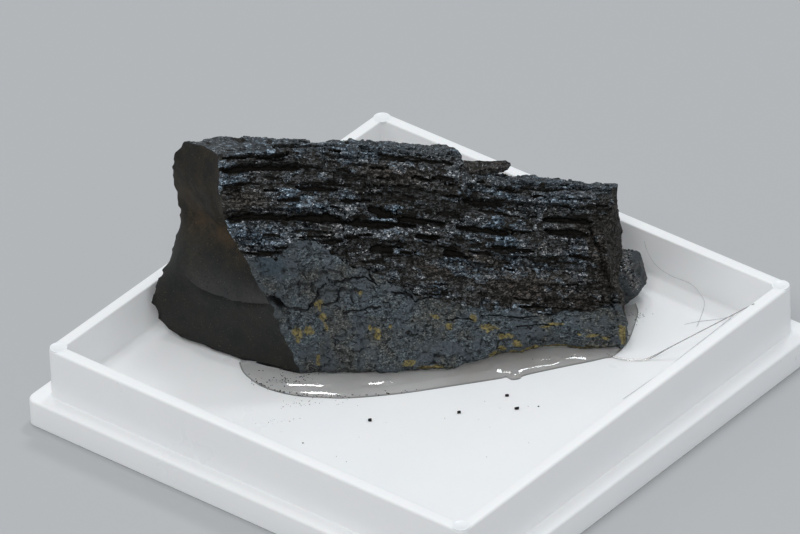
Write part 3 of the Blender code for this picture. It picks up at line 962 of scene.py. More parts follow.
back_relief = (lumps(base, 4.0, 1.0) + lumps(base, 1.6, 0.4) + 0.8 * steps + 0.6 * grains
               + 0.05 * hills(base, 0.3, 10))
relief = layered * (1 - on_back) + back_relief * on_back
relief = relief * (1 - skin) + skin_relief * skin

notch = np.exp(-(distance_to(NOTCH, x_place, height + 0.1 * hills(base, 0.3, 47)) / 0.26) ** 4)
crevice = bell(distance_to(CREVICE, ragged_x, height), 0.0, 0.30)
relief = relief - 0.9 * notch - 0.6 * crevice

t_grid = np.broadcast_to(columns[:, None], relief.shape)
to_edge = np.minimum(t_grid, 1 - t_grid)
edge_fade = np.where(t_grid < 0.5, 0.25 + 0.75 * smooth_step(to_edge, 0.0, 0.03), 1.0)
relief = relief * edge_fade
carved = base + outward * relief[..., None]
# Nothing may rise past the CAD stone or touch the tray's floor: the top is pressed softly
TOP_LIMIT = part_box("vivianite")[1].z / MM - FLOOR_TOP
SOFT_TOP = 0.5
LOWEST = 0.05
over = np.maximum(carved[..., 2] - (TOP_LIMIT - SOFT_TOP), 0.0)
carved[..., 2] = np.where(over > 0, TOP_LIMIT - SOFT_TOP * np.exp(-over / SOFT_TOP), carved[..., 2])
carved[..., 2] = np.maximum(carved[..., 2], LOWEST)
print("relief from", round(float(relief.min()), 2), "to", round(float(relief.max()), 2), "mm")

# %% [markdown]
# ## The two broken ends
#
# Each end closes the last ring of the body with a smooth skin, like a soap film: rings
# shrink towards the middle and every point settles at the average of its neighbours.
# The left break is smooth and shell-like, hollow at its waist, with one soft ridge that
# ends in a small step, its crease. The right break is rough, and its back slab stands
# out past the front one.

# %% Relief of each end
def crease_height(p):
    """Height of the soft ridge across the left break."""
    return 7.03 + 0.13 * np.minimum((p[..., 1] - 1.5) ** 2, 9.5) + 0.05 * hills(p, 1.5, 50)


def left_break(p):
    """Hollow waist, full belly with a small step at its crease, faint ripples and grit."""
    y, z = p[..., 1], p[..., 2]
    hollow = -1.3 * bell(z, 12.3, 2.3)
    above = z - crease_height(p)
    belly = (1.05 * np.exp(-(np.maximum(above, 0.0) / 2.4) ** 1.3)
             - 0.03 * np.maximum(-above, 0.0) ** 1.6)
    step = -0.38 * smooth_step(above, -0.05, 0.12) * smooth_step(-y, -5.5, -3.0)
    from_blow = np.hypot(y + 5.0, z - 13.0)
    ripples = 0.05 * np.sin(2.6 * from_blow + hills(p, 3.0, 51)) * smooth_step(-z, -13.0, -9.0)
    grit = 0.08 * hills(p, 1.0, 52) + 0.04 * hills(p, 0.45, 53) + 0.03 * hills(p, 0.22, 49)
    head = 0.16 * hills(p, 1.3, 58) * smooth_step(z, 12.5, 14.5)
    return hollow + belly + step + ripples + grit + head


def right_break(p):
    """A slab at the back that stands out, and torn layers in two sizes."""
    y, z = p[..., 1], p[..., 2]
    slab = 0.55 * bell(y, 10.2, 2.4) * bell(z, 7.0, 5.0)
    stepped = flakes(y + 0.4 * hills(p, 1.0, 54), z + 0.3 * hills(p, 1.2, 55), 0.8, 1.6, 56)
    grainy = flakes(y + 0.2 * hills(p, 0.6, 57), z + 0.2 * hills(p, 0.5, 59), 0.3, 0.5, 60)
    return slab + lumps(p, 2.0, 0.5) + 0.25 * stepped + 0.12 * grainy


SETTLING_ROUNDS = 400


def close_end(border, rings, relief_of):
    """Rings of points that close a border, each pushed out by the end's own relief."""
    centre = border.mean(axis=0)
    turned = np.roll(border, -1, axis=0)
    normal = np.cross(border - centre, turned - centre).sum(axis=0)
    normal /= np.linalg.norm(normal)
    if normal[0] * centre[0] < 0:
        normal = -normal
    film = np.array([border + (centre - border) * k / rings for k in range(rings)])
    hub = centre
    for _ in range(SETTLING_ROUNDS):
        inner = np.concatenate((film[2:], np.broadcast_to(hub, (1,) + border.shape)))
        beside = np.roll(film[1:], 1, axis=1) + np.roll(film[1:], -1, axis=1)
        film[1:] = 0.25 * (film[:-1] + inner + beside)
        hub = film[-1].mean(axis=0)
    blend_in = np.minimum(1.0, 2.2 * np.arange(1, rings) / rings)[:, None, None]
    pushed = film[1:] + normal * relief_of(film[1:])[..., None] * blend_in
    tip = hub + normal * relief_of(hub[None])[0]
    return pushed, tip


LEFT_RINGS = 34
RIGHT_RINGS = 20
left_rings, left_tip = close_end(carved[0], LEFT_RINGS, left_break)
right_rings, right_tip = close_end(carved[-1], RIGHT_RINGS, right_break)

# %% Join body and ends in one mesh
turn = carved.shape[1]
body_count = carved.shape[0] * turn


def end_faces(border, first, ring_count):
    """Faces from a border of the body, over an end's rings, to its middle point."""
    faces, previous = [], border
    for ring in range(ring_count):
        current = first + ring * turn + np.arange(turn)
        for i in range(turn):
            j = (i + 1) % turn
            faces.append((previous[i], previous[j], current[j], current[i]))
        previous = current
    tip = first + ring_count * turn
    for i in range(turn):
        faces.append((previous[i], previous[(i + 1) % turn], tip))
    return faces


left_end_count = len(left_rings) * turn + 1
body_faces = ring_faces(carved.shape[0], turn)
left_faces = end_faces(np.arange(turn), body_count, len(left_rings))
right_faces = end_faces(body_count - turn + np.arange(turn), body_count + left_end_count,
                        len(right_rings))
stone_points = np.concatenate([part.reshape(-1, 3) for part in
                               (carved, left_rings, left_tip, right_rings, right_tip)])
stone_faces = body_faces + left_faces + right_faces
print("stone has", len(stone_points), "points")

# %% [markdown]
# ## Lump and splinter
#
# Two features of the stone stand clear of its rails: the angular lump low on its right
# end, and a thin splinter that juts out past the step in its crest. Each is its own
# closed form that runs into the stone, in the same mesh.

# %% Lump on the right end
LUMP_MIDDLE = (19.9, 8.7, 3.4)
LUMP_REACH = 3.4
LUMP_FOOT = 0.25
# Outward direction of each flat face, and a point on it
LUMP_FACES = (
    ((0.02, -0.06, 1.0), (21.0, 8.2, 4.85)), ((0.97, -0.1, 0.24), (21.95, 8.5, 5.3)),
    ((0.985, -0.1, 0.17), (22.40, 8.5, 3.5)), ((0.6, -0.2, -0.8), (22.4, 8.3, 2.05)),
    ((0.44, 0.0, -0.9), (21.1, 7.6, 1.05)), ((0.25, -0.97, 0.1), (20.6, 6.7, 3.4)),
    ((0.8, -0.6, 0.1), (21.9, 7.5, 3.6)), ((0.2, 0.95, 0.2), (20.0, 11.0, 3.6)),
    ((0.8, 0.6, 0.1), (22.0, 10.2, 3.8)),
)
LUMP_RIDGE = ((20.2, 5.4), (20.9, 4.3), (21.5, 2.9))


def lump_form():
    """A ball whose points are pulled in to the flat faces, then roughened in layers."""
    points, faces = ball(5)
    d = np.array([v.normalized()[:] for v in points])
    middle = np.array(LUMP_MIDDLE)
    reach = np.full(len(d), LUMP_REACH)
    for direction, point in LUMP_FACES:
        n = np.array(direction) / np.linalg.norm(direction)
        facing = d @ n
        far = (np.array(point) - middle) @ n
        cut = np.minimum(reach, far / np.maximum(facing, 0.15))
        reach = np.where(facing > 0.15, cut, reach)
    p = middle + d * reach[:, None]
    rough = flakes(p[:, 1] + 0.3 * hills(p, 0.9, 61), p[:, 2] + 0.3 * hills(p, 0.8, 62), 0.7, 1.1, 63)
    p = p + d * (0.08 * rough + 0.05 * hills(p, 0.35, 64))[:, None]
    p[:, 2] = np.maximum(p[:, 2], LUMP_FOOT)
    return p, faces


# %% Splinter on the crest
SPLINTER_START, SPLINTER_END = 2.5, 9.45
SPLINTER_STATIONS, SPLINTER_SIDES = 70, 40
# Its front, back, top and underside, as (place along x, y or z there)
SPLINTER_FRONT = ((2.5, 7.6), (5.6, 7.7), (7.0, 8.3), (8.6, 8.4), (9.2, 8.8), (9.45, 9.2))
SPLINTER_BACK = ((2.5, 9.9), (8.2, 9.9), (9.0, 9.8), (9.45, 9.6))
SPLINTER_TOP = ((2.5, 16.95), (4.2, 16.9), (9.0, 16.6), (9.45, 16.45))
SPLINTER_UNDER = ((2.5, 14.8), (6.2, 14.9), (7.2, 15.5), (7.8, 16.0), (9.0, 16.1), (9.45, 16.25))


def splinter_form():
    """A thin blade of layers: rings across it, one for every tenth of a millimetre."""
    stations = np.linspace(SPLINTER_START, SPLINTER_END, SPLINTER_STATIONS)
    angle = np.linspace(0, 2 * math.pi, SPLINTER_SIDES, endpoint=False)
    side, rise = np.cos(angle), np.sin(angle)
    squared = 1.0 / np.maximum(np.abs(side), np.abs(rise)) ** 0.75
    points = []
    for x in stations:
        front_y, back_y, top, low = (np.interp(x, *zip(*edge)) for edge in
                                     (SPLINTER_FRONT, SPLINTER_BACK, SPLINTER_TOP, SPLINTER_UNDER))
        ring = np.stack((np.full(SPLINTER_SIDES, x),
                         0.5 * (front_y + back_y) + 0.5 * (back_y - front_y) * side * squared,
                         0.5 * (low + top) + 0.5 * (top - low) * rise * squared), axis=-1)
        points.append(ring)
    p = np.concatenate(points)
    rough = flakes(p[:, 0] + 0.2 * hills(p, 0.5, 74), p[:, 2] + 0.1 * hills(p, 0.6, 75), 0.24, 0.8, 76)
    p = p + 0.10 * np.stack([hills(p, 0.45, seed) for seed in (71, 72, 73)], axis=-1)
    p[:, 1] -= 0.16 * rough * np.tile(np.maximum(-side, 0.2), len(stations))
    p[:, 2] += 0.07 * rough * np.tile(rise, len(stations))
    faces = ring_faces(len(stations), SPLINTER_SIDES)
    faces += [tuple(range(SPLINTER_SIDES)), tuple(range(len(p) - SPLINTER_SIDES, len(p)))]
    return p, faces


(lump_points, lump_faces), (splinter_points, splinter_faces) = lump_form(), splinter_form()
lump_start = len(stone_points)
for extra_points, extra_faces in ((lump_points, lump_faces), (splinter_points, splinter_faces)):
    first = len(stone_points)
    stone_points = np.concatenate((stone_points, extra_points))
    stone_faces += [tuple(first + i for i in face) for face in extra_faces]

# %% [markdown]
# ## What the materials need to know
#
# A finish that changes over the stone needs a number at each of its points. Eleven such
# numbers are stored on the mesh as attributes: how much painted shade the point gets
# (in recesses, the notch, the crevice and on the crest), how much painted shade a small
# pit gives it, whether it is in the notch beside the left break, its distance from a
# crack, how much ochre crust or silky sheen is on the skin, how blue or brown the
# crystals are, and three that lay out the left break, its painted highlight and shadow
# among them. Stains and tints are given by place and size.

# %% Coloured patches: x along the stone, height up the face, half width, half height
OCHRE_PATCHES = (
    (-9.9, -2.7, 0.4, 0.5), (-9.6, -3.7, 0.4, 0.6), (-9.3, -4.7, 0.35, 0.4), (-12.2, -5.3, 0.5, 0.5),
    (-11.1, -4.9, 0.7, 0.35), (-5.0, -4.4, 0.35, 0.35), (-4.3, -4.9, 0.4, 0.5), (-3.1, -4.2, 0.3, 0.35),
    (-10.2, -7.3, 0.5, 0.3), (1.4, -2.3, 0.35, 0.3), (2.8, -3.5, 0.35, 0.6), (5.0, -1.9, 0.4, 0.9),
    (6.9, -3.6, 1.1, 0.6), (8.4, -4.9, 1.0, 0.5), (9.5, -6.2, 0.5, 0.7), (8.0, -6.6, 0.5, 0.6),
    (7.2, -7.6, 0.6, 0.7), (13.3, -2.6, 0.8, 0.4), (12.5, -3.0, 0.6, 0.3), (17.0, -5.7, 0.6, 0.5),
    (15.8, -5.2, 0.35, 0.35), (18.2, -6.3, 0.7, 0.25), (20.0, -5.6, 0.45, 1.9), (13.0, -7.9, 5.5, 0.6),
    (1.0, -8.0, 1.6, 0.4), (-1.3, -7.4, 0.8, 0.35), (-5.8, -1.4, 0.35, 0.35))
SILKY_PATCH = (-14.6, 0.1, 1.5, 1.1)
BLUE_PATCHES = (CRYSTAL_PATCH, (-6.9, 8.9, 1.2, 0.6), (14.3, 12.7, 1.9, 0.9),
                (16.0, 5.9, 1.4, 0.8), (3.9, 15.2, 1.8, 0.8), (-16.2, 14.4, 2.6, 0.9),
                (-18.3, 9.8, 1.0, 0.5), (10.3, 14.5, 1.6, 0.7), (-5.0, 15.6, 9.0, 0.9),
                (2.5, 4.0, 1.5, 0.6), (-9.5, 7.4, 1.6, 0.5), (8.5, 12.6, 2.2, 0.5))
BROWN_PATCHES = ((10.5, 2.6, 4.5, 1.8), (15.5, 0.9, 4.0, 1.5), (18.3, 6.0, 1.6, 5.0),
                 (-2.0, 11.8, 3.0, 0.8), (-17.0, 7.5, 2.0, 1.2), (1.5, 3.4, 2.0, 1.0),
                 (6.5, 5.5, 1.8, 0.7))
BROWN_RIDGE = ((16.0, 10.0), (17.3, 8.4), (18.2, 6.0), (18.7, 4.0))

# %% Painted shade in pits, recesses and on the crest
SMOOTHING_ROUNDS = 6
PIT_DEPTH = 0.10

smoothed = relief.copy()
for _ in range(SMOOTHING_ROUNDS):
    for axis in (0, 1):
        smoothed = 0.5 * smoothed + 0.25 * (np.roll(smoothed, 1, axis) + np.roll(smoothed, -1, axis))
# Painted shade: points that lie below their smoothed neighbours are darkened
pit_shade = np.clip((smoothed - relief) / PIT_DEPTH, 0.0, 1.0)
# Painted shade in the recesses and wherever the surface lies deep
painted_shade_share = np.clip(np.maximum(recess, -relief / 1.6), 0.0, 1.0)
# Painted shade: the crest is darkened because it faces the light, and the skin is darkened at the left
# and at the foot
painted_shade_share = np.maximum(painted_shade_share, 0.48 * smooth_step(height, 13.4, 14.6))
dusky_skin = np.maximum(1 - smooth_step(x_place, -10.5, -7.5),
                        0.7 * (1 - smooth_step(height, -7.2, -5.8)))
painted_shade_share = np.maximum(painted_shade_share, 0.22 * dusky_skin * skin)

# %% Values on every point of the stone
def over_stone(body, rest=0.0, lump=None):
    """One value for every point: the body's own, the lump's, and another for the rest."""
    values = np.full(len(stone_points), float(rest))
    values[:body_count] = body.reshape(-1)
    if lump is not None:
        values[lump_start:lump_start + len(lump_points)] = lump
    return values


def over_left_end(values, elsewhere=0.0):
    """The left break's own values, and one value for the rest of the stone."""
    everywhere = np.full(len(stone_points), elsewhere)
    everywhere[body_count:body_count + left_end_count] = values
    return everywhere


on_ridge = bell(distance_to(LUMP_RIDGE, lump_points[:, 0], lump_points[:, 2]), 0.0, 0.75)
blue = np.maximum(patches(x_place, height, BLUE_PATCHES), 0.35 * smooth_step(height, 13.6, 14.6))
brown = np.maximum(patches(x_place, height, BROWN_PATCHES),
                   0.9 * bell(distance_to(BROWN_RIDGE, x_place, height), 0.0, 0.6))
stain_x, stain_height = x_place + 0.4 * hills(base, 0.9, 35), height + 0.3 * hills(base, 0.8, 36)
left_end = stone_points[body_count:body_count + left_end_count]
above_crease = left_end[:, 2] - crease_height(left_end)
rust_share = bell(left_end[:, 2], 12.4, 1.7) + 0.35 * smooth_step(left_end[:, 2], 13.0, 15.0)
stone_values = {
    # Painted shade: deep places, the notch, the crevice and the crest are darkened, the right end and
    # the splinter by a fixed share, and the lump more away from its ridge
    "depth": over_stone(np.maximum(painted_shade_share, np.maximum(0.9 * notch, 0.7 * crevice)), 0.4,
                        0.35 + 0.3 * (1 - on_ridge)),
    "pit_shade": over_stone(pit_shade),
    "crack": over_stone(crack_line, CRACK_REACH),
    "notch": over_stone(notch),
    "ochre": over_stone(patches(stain_x, stain_height, OCHRE_PATCHES) * front),
    "silky": over_stone(patches(x_place, height, (SILKY_PATCH,)) * front),
    "blue": over_stone(blue * front),
    "brown": over_stone(brown * front, 0.6, on_ridge),
    "crease": over_left_end(np.clip(above_crease, -1.0, 3.0), -1.0),
    "band": over_left_end(smooth_step(-left_end[:, 1], -5.5, -2.5)),
    "rust": over_left_end(rust_share),
}


def store(mesh, name, values):
    """Keep one number per point on a mesh, under a name that a material can read."""
    layer = mesh.attributes.new(name, "FLOAT", "POINT")
    layer.data.foreach_set("value", values)


# %% [markdown]
# ## Crystal layers and dull layers
#
# The ledges are made of tiny dark crystals. Cells of random colour stand for them: one
# cell is one crystal, and its colour gives both its shade and a small tilt of the
# surface. So each one catches the light at its own angle, and only a few flash; the
# brightest cells are painted glints as well. Three sets of shades, neutral, blue and
# warm, follow broad clouds and the placed patches. Pits and deep places get painted shade.
#
# In the recesses and between the crystals lie soft brown-black layers that hardly shine.
# They are noise drawn out along the stone into fine bands, with a few pale specks painted
# as glints, and painted shade where they lie deep.

# %% Helpers for cells and tilts
def attribute(tree, name):
    """A stored number, read at each place on the surface."""
    return add_node(tree, "ShaderNodeAttribute", attribute_name=name).outputs["Fac"]


def random_tilt(tree, color, amount, after):
    """Tilt the shading normal by a cell's random colour, as a small crystal face."""
    vector = "ShaderNodeVectorMath"
    centred = compute(tree, "SUBTRACT", color, (0.5, 0.5, 0.5), kind=vector)
    scaled = compute(tree, "MULTIPLY_ADD", centred, (amount, amount, amount), after, kind=vector)
    return compute(tree, "NORMALIZE", scaled, kind=vector)


def along_stone(tree, where, *sizes_mm):
    """Coordinates turned along the stone and divided by a cell's three sizes."""
    turned = add_node(tree, "ShaderNodeMapping")
    turned.inputs["Rotation"].default_value = (0.0, 0.0, -STONE_TURN)
    join(tree, where, turned.inputs["Vector"])
    stretched = add_node(tree, "ShaderNodeMapping")
    stretched.inputs["Scale"].default_value = [1.0 / (size * MM) for size in sizes_mm]
    join(tree, turned.outputs["Vector"], stretched.inputs["Vector"])
    return stretched.outputs["Vector"]


def cells(tree, where, feature="F1"):
    """Irregular cells: a random colour for each, or the distance to their borders."""
    node = add_node(tree, "ShaderNodeTexVoronoi", feature=feature)
    node.inputs["Scale"].default_value = 1.0
    join(tree, where, node.inputs["Vector"])
    return node.outputs["Distance" if feature == "DISTANCE_TO_EDGE" else "Color"]


def channel(tree, color, name):
    """One channel of a colour, as a plain number."""
    split = add_node(tree, "ShaderNodeSeparateColor")
    join(tree, color, split.inputs[0])
    return split.outputs[name]


def level_of(tree, where, sizes, finer):
    """A random number for each crystal, part its own and part from the grains on it."""
    crystals = cells(tree, along_stone(tree, where, *sizes))
    dust = cells(tree, along_stone(tree, where, *finer))
    dust_part = compute(tree, "MULTIPLY", channel(tree, dust, "Red"), 0.4)
    level = compute(tree, "MULTIPLY_ADD", channel(tree, crystals, "Red"), 0.6, dust_part)
    return level, crystals, dust


# %% Finish of the crystal layers
def crystal_layers():
    """Layers of small dark crystals, each with its own shade, tilt and shine; the brightest carry
    painted glints, and pits and hollows painted shade.
    """
    mat, tree, shader = new_material("dark crystal layers")
    where = object_place(tree)
    normal = add_node(tree, "ShaderNodeNewGeometry").outputs["Normal"]
    broad = noise_texture(tree, where, 200.0, detail=3.0)
    level, crystals, dust = level_of(tree, where, (0.24, 0.17, 0.13), (0.12, 0.10, 0.08))
    big_level, blades, _ = level_of(tree, where, (0.36, 0.24, 0.18), (0.16, 0.13, 0.11))
    # The top stop of each ramp is a painted glint; the lower stops are the crystals' own tones
    grey = ramp(tree, level, (0.30, (0.003, 0.003, 0.004)), (0.50, (0.016, 0.018, 0.020)),
                (0.66, (0.054, 0.061, 0.068)), (0.78, (0.170, 0.185, 0.200)),
                (0.90, (0.62, 0.65, 0.68)))
    bluish = ramp(tree, big_level, (0.32, (0.003, 0.006, 0.010)), (0.50, (0.013, 0.023, 0.034)),
                  (0.66, (0.046, 0.070, 0.094)), (0.78, (0.150, 0.210, 0.275)),
                  (0.90, (0.50, 0.63, 0.75)))
    warm = ramp(tree, level, (0.32, (0.004, 0.003, 0.003)), (0.52, (0.021, 0.019, 0.017)),
                (0.68, (0.070, 0.063, 0.057)), (0.80, (0.200, 0.180, 0.165)),
                (0.91, (0.60, 0.55, 0.51)))
    color = blend(tree, ramp(tree, broad, (0.42, 1.0), (0.52, 0.0)), grey, bluish)
    color = blend(tree, ramp(tree, broad, (0.58, 0.0), (0.66, 0.8)), color, warm)
    color = blend(tree, attribute(tree, "blue"), color, bluish)
    color = blend(tree, attribute(tree, "brown"), color, warm)
    # Painted shade: pits and deep places are darkened towards black
    color = blend(tree, attribute(tree, "pit_shade"), color, (0.003, 0.003, 0.003))
    color = blend(tree, attribute(tree, "depth"), color, (0.007, 0.006, 0.004))
    join(tree, color, shader.inputs["Base Color"])
    shine = channel(tree, crystals, "Green")
    join(tree, ramp(tree, shine, (0.0, 0.10), (0.35, 0.28), (1.0, 0.50)), shader.inputs["Roughness"])
    tilted = random_tilt(tree, blades, 0.5, random_tilt(tree, crystals, 0.6, normal))
    join(tree, random_tilt(tree, dust, 0.55, tilted), shader.inputs["Normal"])
    set_inputs(shader, IOR=1.60, Specular_Tint=(0.84, 0.93, 1.0, 1.0))
    return mat


# %% Finish of the dull layers
def dull_layers():
    """Soft brown-black layers in the recesses: matt, finely banded, with a few pale specks painted as
    glints, and painted shade where they lie deep.
    """
    mat, tree, shader = new_material("brown-black dull layers")
    where = object_place(tree)
    bands = noise_texture(tree, along_stone(tree, where, 1.4, 0.5, 0.12), 1.0, detail=4.0)
    level, _, dust = level_of(tree, where, (0.30, 0.22, 0.16), (0.12, 0.10, 0.09))
    ground = ramp(tree, bands, (0.36, (0.003, 0.003, 0.003)), (0.50, (0.011, 0.010, 0.008)),
                  (0.66, (0.030, 0.028, 0.024)))
    # Painted glints: pale specks on the matt layers
    glint_specks = ramp(tree, level, (0.58, 0.0), (0.72, 0.9))
    speck_color = blend(tree, attribute(tree, "brown"), (0.095, 0.101, 0.107), (0.130, 0.112, 0.098))
    color = blend(tree, glint_specks, ground, speck_color)
    # Painted shade: deep places are darkened
    color = blend(tree, attribute(tree, "depth"), color, (0.006, 0.005, 0.0035))
    join(tree, color, shader.inputs["Base Color"])
    join(tree, bump(tree, bands, 0.6, 0.0001), shader.inputs["Normal"])
    set_inputs(shader, Roughness=0.7, IOR=1.28)
    return mat


# %% [markdown]
# ## Slate-grey skin
#
# The skin is a thin dusty crust of clouded slate grey, blue in one place and warm in the
# next, with fine light speckle. Ochre crust clings to its foot and to a few spots: a
# noise decides where it sticks, and the placed patches raise that noise. Dark cracks
# are drawn last, the placed ones as thin lines where the stored distance is near zero,
# and finer ones along the borders of large cells.

# %% Cracks drawn on the skin
def crack_lines(tree, where):
    """1 on the placed cracks and on a net of hairlines between them, 0 elsewhere."""
    line_noise = noise_texture(tree, where, 1500.0, detail=2.0)
    width = add_node(tree, "ShaderNodeMapRange")
    set_inputs(width, From_Min=0.35, From_Max=0.65, To_Min=0.05, To_Max=0.15)
    join(tree, line_noise, width.inputs["Value"])
    off_line = compute(tree, "ABSOLUTE", attribute(tree, "crack"))
    on_line = compute(tree, "LESS_THAN", off_line, width.outputs[0])
    wander = add_node(tree, "ShaderNodeTexNoise")
    set_inputs(wander, Scale=900.0, Detail=2.0)
    join(tree, where, wander.inputs["Vector"])
    shifted = compute(tree, "MULTIPLY_ADD", wander.outputs["Color"], (0.0009, 0.0009, 0.0009), where,
                      kind="ShaderNodeVectorMath")
    net = cells(tree, along_stone(tree, shifted, 2.2, 1.5, 1.1), "DISTANCE_TO_EDGE")
    hairline = compute(tree, "MULTIPLY", ramp(tree, net, (0.025, 1.0), (0.05, 0.0)),
                       ramp(tree, line_noise, (0.54, 0.0), (0.58, 1.0)))
    return compute(tree, "MAXIMUM", on_line, hairline)


# %% Finish of the skin
def slate_skin():
    """The smooth slate-grey skin: blue-grey and warm clouds, painted shade in pits, the notch and deep
    places, ochre crust, cracks.
    """
    mat, tree, shader = new_material("slate-grey skin")
    where = object_place(tree)
    broad = noise_texture(tree, where, 260.0, detail=4.0)
    grit = noise_texture(tree, where, 4200.0, detail=3.0, roughness=0.8)
    speckle, _, _ = level_of(tree, where, (0.17, 0.14, 0.13), (0.09, 0.08, 0.08))
    cool = ramp(tree, speckle, (0.16, (0.008, 0.010, 0.012)), (0.38, (0.044, 0.057, 0.066)),
                (0.66, (0.084, 0.105, 0.119)), (0.92, (0.190, 0.222, 0.238)))
    warm = ramp(tree, speckle, (0.16, (0.007, 0.007, 0.006)), (0.38, (0.040, 0.041, 0.037)),
                (0.66, (0.082, 0.085, 0.077)), (0.92, (0.210, 0.210, 0.186)))
    color = blend(tree, ramp(tree, broad, (0.45, 0.0), (0.55, 0.9)), cool, warm)
    cloud = noise_texture(tree, where, 420.0, detail=4.0, roughness=0.6)
    smooth_slate = ramp(tree, grit, (0.38, (0.042, 0.053, 0.063)), (0.62, (0.078, 0.092, 0.106)))
    color = blend(tree, ramp(tree, cloud, (0.50, 0.0), (0.58, 0.8)), color, smooth_slate)
    silk_streaks = noise_texture(tree, along_stone(tree, where, 0.16, 0.3, 1.6), 1.0, detail=4.0)
    silk = ramp(tree, silk_streaks, (0.35, (0.026, 0.042, 0.054)), (0.65, (0.054, 0.078, 0.094)))
    color = blend(tree, ramp(tree, attribute(tree, "silky"), (0.20, 0.0), (0.60, 0.95)), color, silk)
    # Painted shade in pits
    color = blend(tree, ramp(tree, attribute(tree, "pit_shade"), (0.2, 0.0), (1.0, 0.8)), color,
                  (0.006, 0.006, 0.006))
    stain_noise = noise_texture(tree, where, 1900.0, detail=6.0, roughness=0.8)
    stain_level = compute(tree, "MULTIPLY_ADD", attribute(tree, "ochre"), 0.50, stain_noise)
    crust = ramp(tree, grit, (0.38, (0.060, 0.048, 0.018)), (0.58, (0.300, 0.240, 0.080)))
    color = blend(tree, ramp(tree, stain_level, (0.70, 0.0), (0.80, 0.9)), color, crust)
    lines = crack_lines(tree, where)
    color = blend(tree, lines, color, (0.003, 0.003, 0.003))
    # Painted shade: the notch and the deep places are darkened
    color = blend(tree, attribute(tree, "notch"), color, (0.003, 0.003, 0.003))
    color = blend(tree, attribute(tree, "depth"), color, (0.008, 0.008, 0.008))
    join(tree, color, shader.inputs["Base Color"])
    sunk = compute(tree, "MULTIPLY_ADD", lines, -0.8, grit)
    join(tree, bump(tree, sunk, 0.6, 0.00008), shader.inputs["Normal"])
    set_inputs(shader, Roughness=0.55, IOR=1.38, Specular_Tint=(0.85, 0.93, 1.0, 1.0))
    return mat


# %% [markdown]
# ## Smooth break
#
# The left end broke like glass and has dulled since: matt brown-black, rusty at its
# waist, with pale dust specks. Along the crease across it a painted highlight makes a
# pale band above, and a painted shadow makes a dark lip below. Both are ramps on the
# stored distance from the crease, so they stay sharp however coarse the mesh is.

# %% Finish of the smooth break
def smooth_break():
    """The matt brown-black broken end, rusty at its waist, with a painted highlight just above its ridge
    and a painted shadow below it.
    """
    mat, tree, shader = new_material("smooth brown-black break")
    where = object_place(tree)
    cloudy = noise_texture(tree, where, 330.0, detail=6.0, roughness=0.7)
    grit = noise_texture(tree, where, 3400.0, detail=4.0, roughness=0.75)
    ground = ramp(tree, cloudy, (0.35, (0.011, 0.013, 0.013)), (0.65, (0.021, 0.020, 0.016)))
    # The pale tone is the painted highlight above the crease
    pale = ramp(tree, cloudy, (0.35, (0.034, 0.034, 0.035)), (0.65, (0.050, 0.048, 0.047)))
    rusty = ramp(tree, cloudy, (0.40, (0.014, 0.012, 0.008)), (0.65, (0.060, 0.040, 0.021)))
    from_crease = compute(tree, "MULTIPLY_ADD", attribute(tree, "crease"), 0.25, 0.25)
    # Painted highlight: a pale band just above the crease
    above = ramp(tree, from_crease, (0.248, 0.0), (0.262, 1.0), (0.40, 0.85), (0.88, 0.0))
    # Painted shadow: a dark lip just below the crease
    crease_shadow = ramp(tree, from_crease, (0.10, 0.0), (0.215, 0.55), (0.246, 0.85), (0.256, 0.0))
    band = attribute(tree, "band")
    color = blend(tree, compute(tree, "MULTIPLY", above, band), ground, pale)
    color = blend(tree, compute(tree, "MULTIPLY", crease_shadow, band), color, (0.006, 0.006, 0.006))
    color = blend(tree, attribute(tree, "rust"), color, rusty)
    color = blend(tree, ramp(tree, grit, (0.34, 0.7), (0.42, 0.0)), color, (0.004, 0.004, 0.004))
    dust = noise_texture(tree, where, 6500.0, detail=3.0, roughness=0.75)
    color = blend(tree, ramp(tree, dust, (0.63, 0.0), (0.68, 0.8)), color, (0.130, 0.108, 0.072))
    join(tree, color, shader.inputs["Base Color"])
    join(tree, bump(tree, grit, 0.4, 0.00008, bump(tree, cloudy, 0.35, 0.0002)), shader.inputs["Normal"])
    set_inputs(shader, Roughness=0.62, IOR=1.30)
    return mat


# %% [markdown]
# ## Which face gets which finish
#
# The layers that stand out are crystals, and those that lie back are dull. So a face of
# the ledges is sorted by how far its flakes stand out, with some soft hills added to
# mix the two. The skin has its own faces, and so have the two ends. The lump is skin
# with crystals along its ridge, and the splinter is nearly all dull.

# %% Which layers are dull and which are crystals
CRYSTALS, BREAK, DULL, SKIN = range(4)
SPLINTER_DULL = 0.85


def of_faces(values):
    """The mean of the four corners of each of the body's faces."""
    around_ring = values + np.roll(values, -1, axis=1)
    return (around_ring[:-1] + around_ring[1:]) / 4


standing_out = (0.45 * coarse + 0.40 * fine + 0.35 * hills(base, 0.55, 25)
                + 0.25 * hills(stretched, 2.4, 26) + 0.6 * blue - 0.5 * brown)
lying_back = (of_faces(standing_out) < -0.08) | (of_faces(recess) > 0.3)
body_kind = np.where(of_faces(skin) > 0.5, SKIN, np.where(lying_back, DULL, CRYSTALS))
lump_kind = [CRYSTALS if on_ridge[face[0]] > 0.5 else SKIN for face in lump_faces]
splinter_kind = [DULL if scatter(k // 3, 8) < SPLINTER_DULL else CRYSTALS
                 for k in range(len(splinter_faces))]
face_kind = (body_kind.reshape(-1).tolist() + [BREAK] * len(left_faces) + [DULL] * len(right_faces)
             + lump_kind + splinter_kind)
print("dull share of the body:", round(float((body_kind == DULL).mean()), 2))

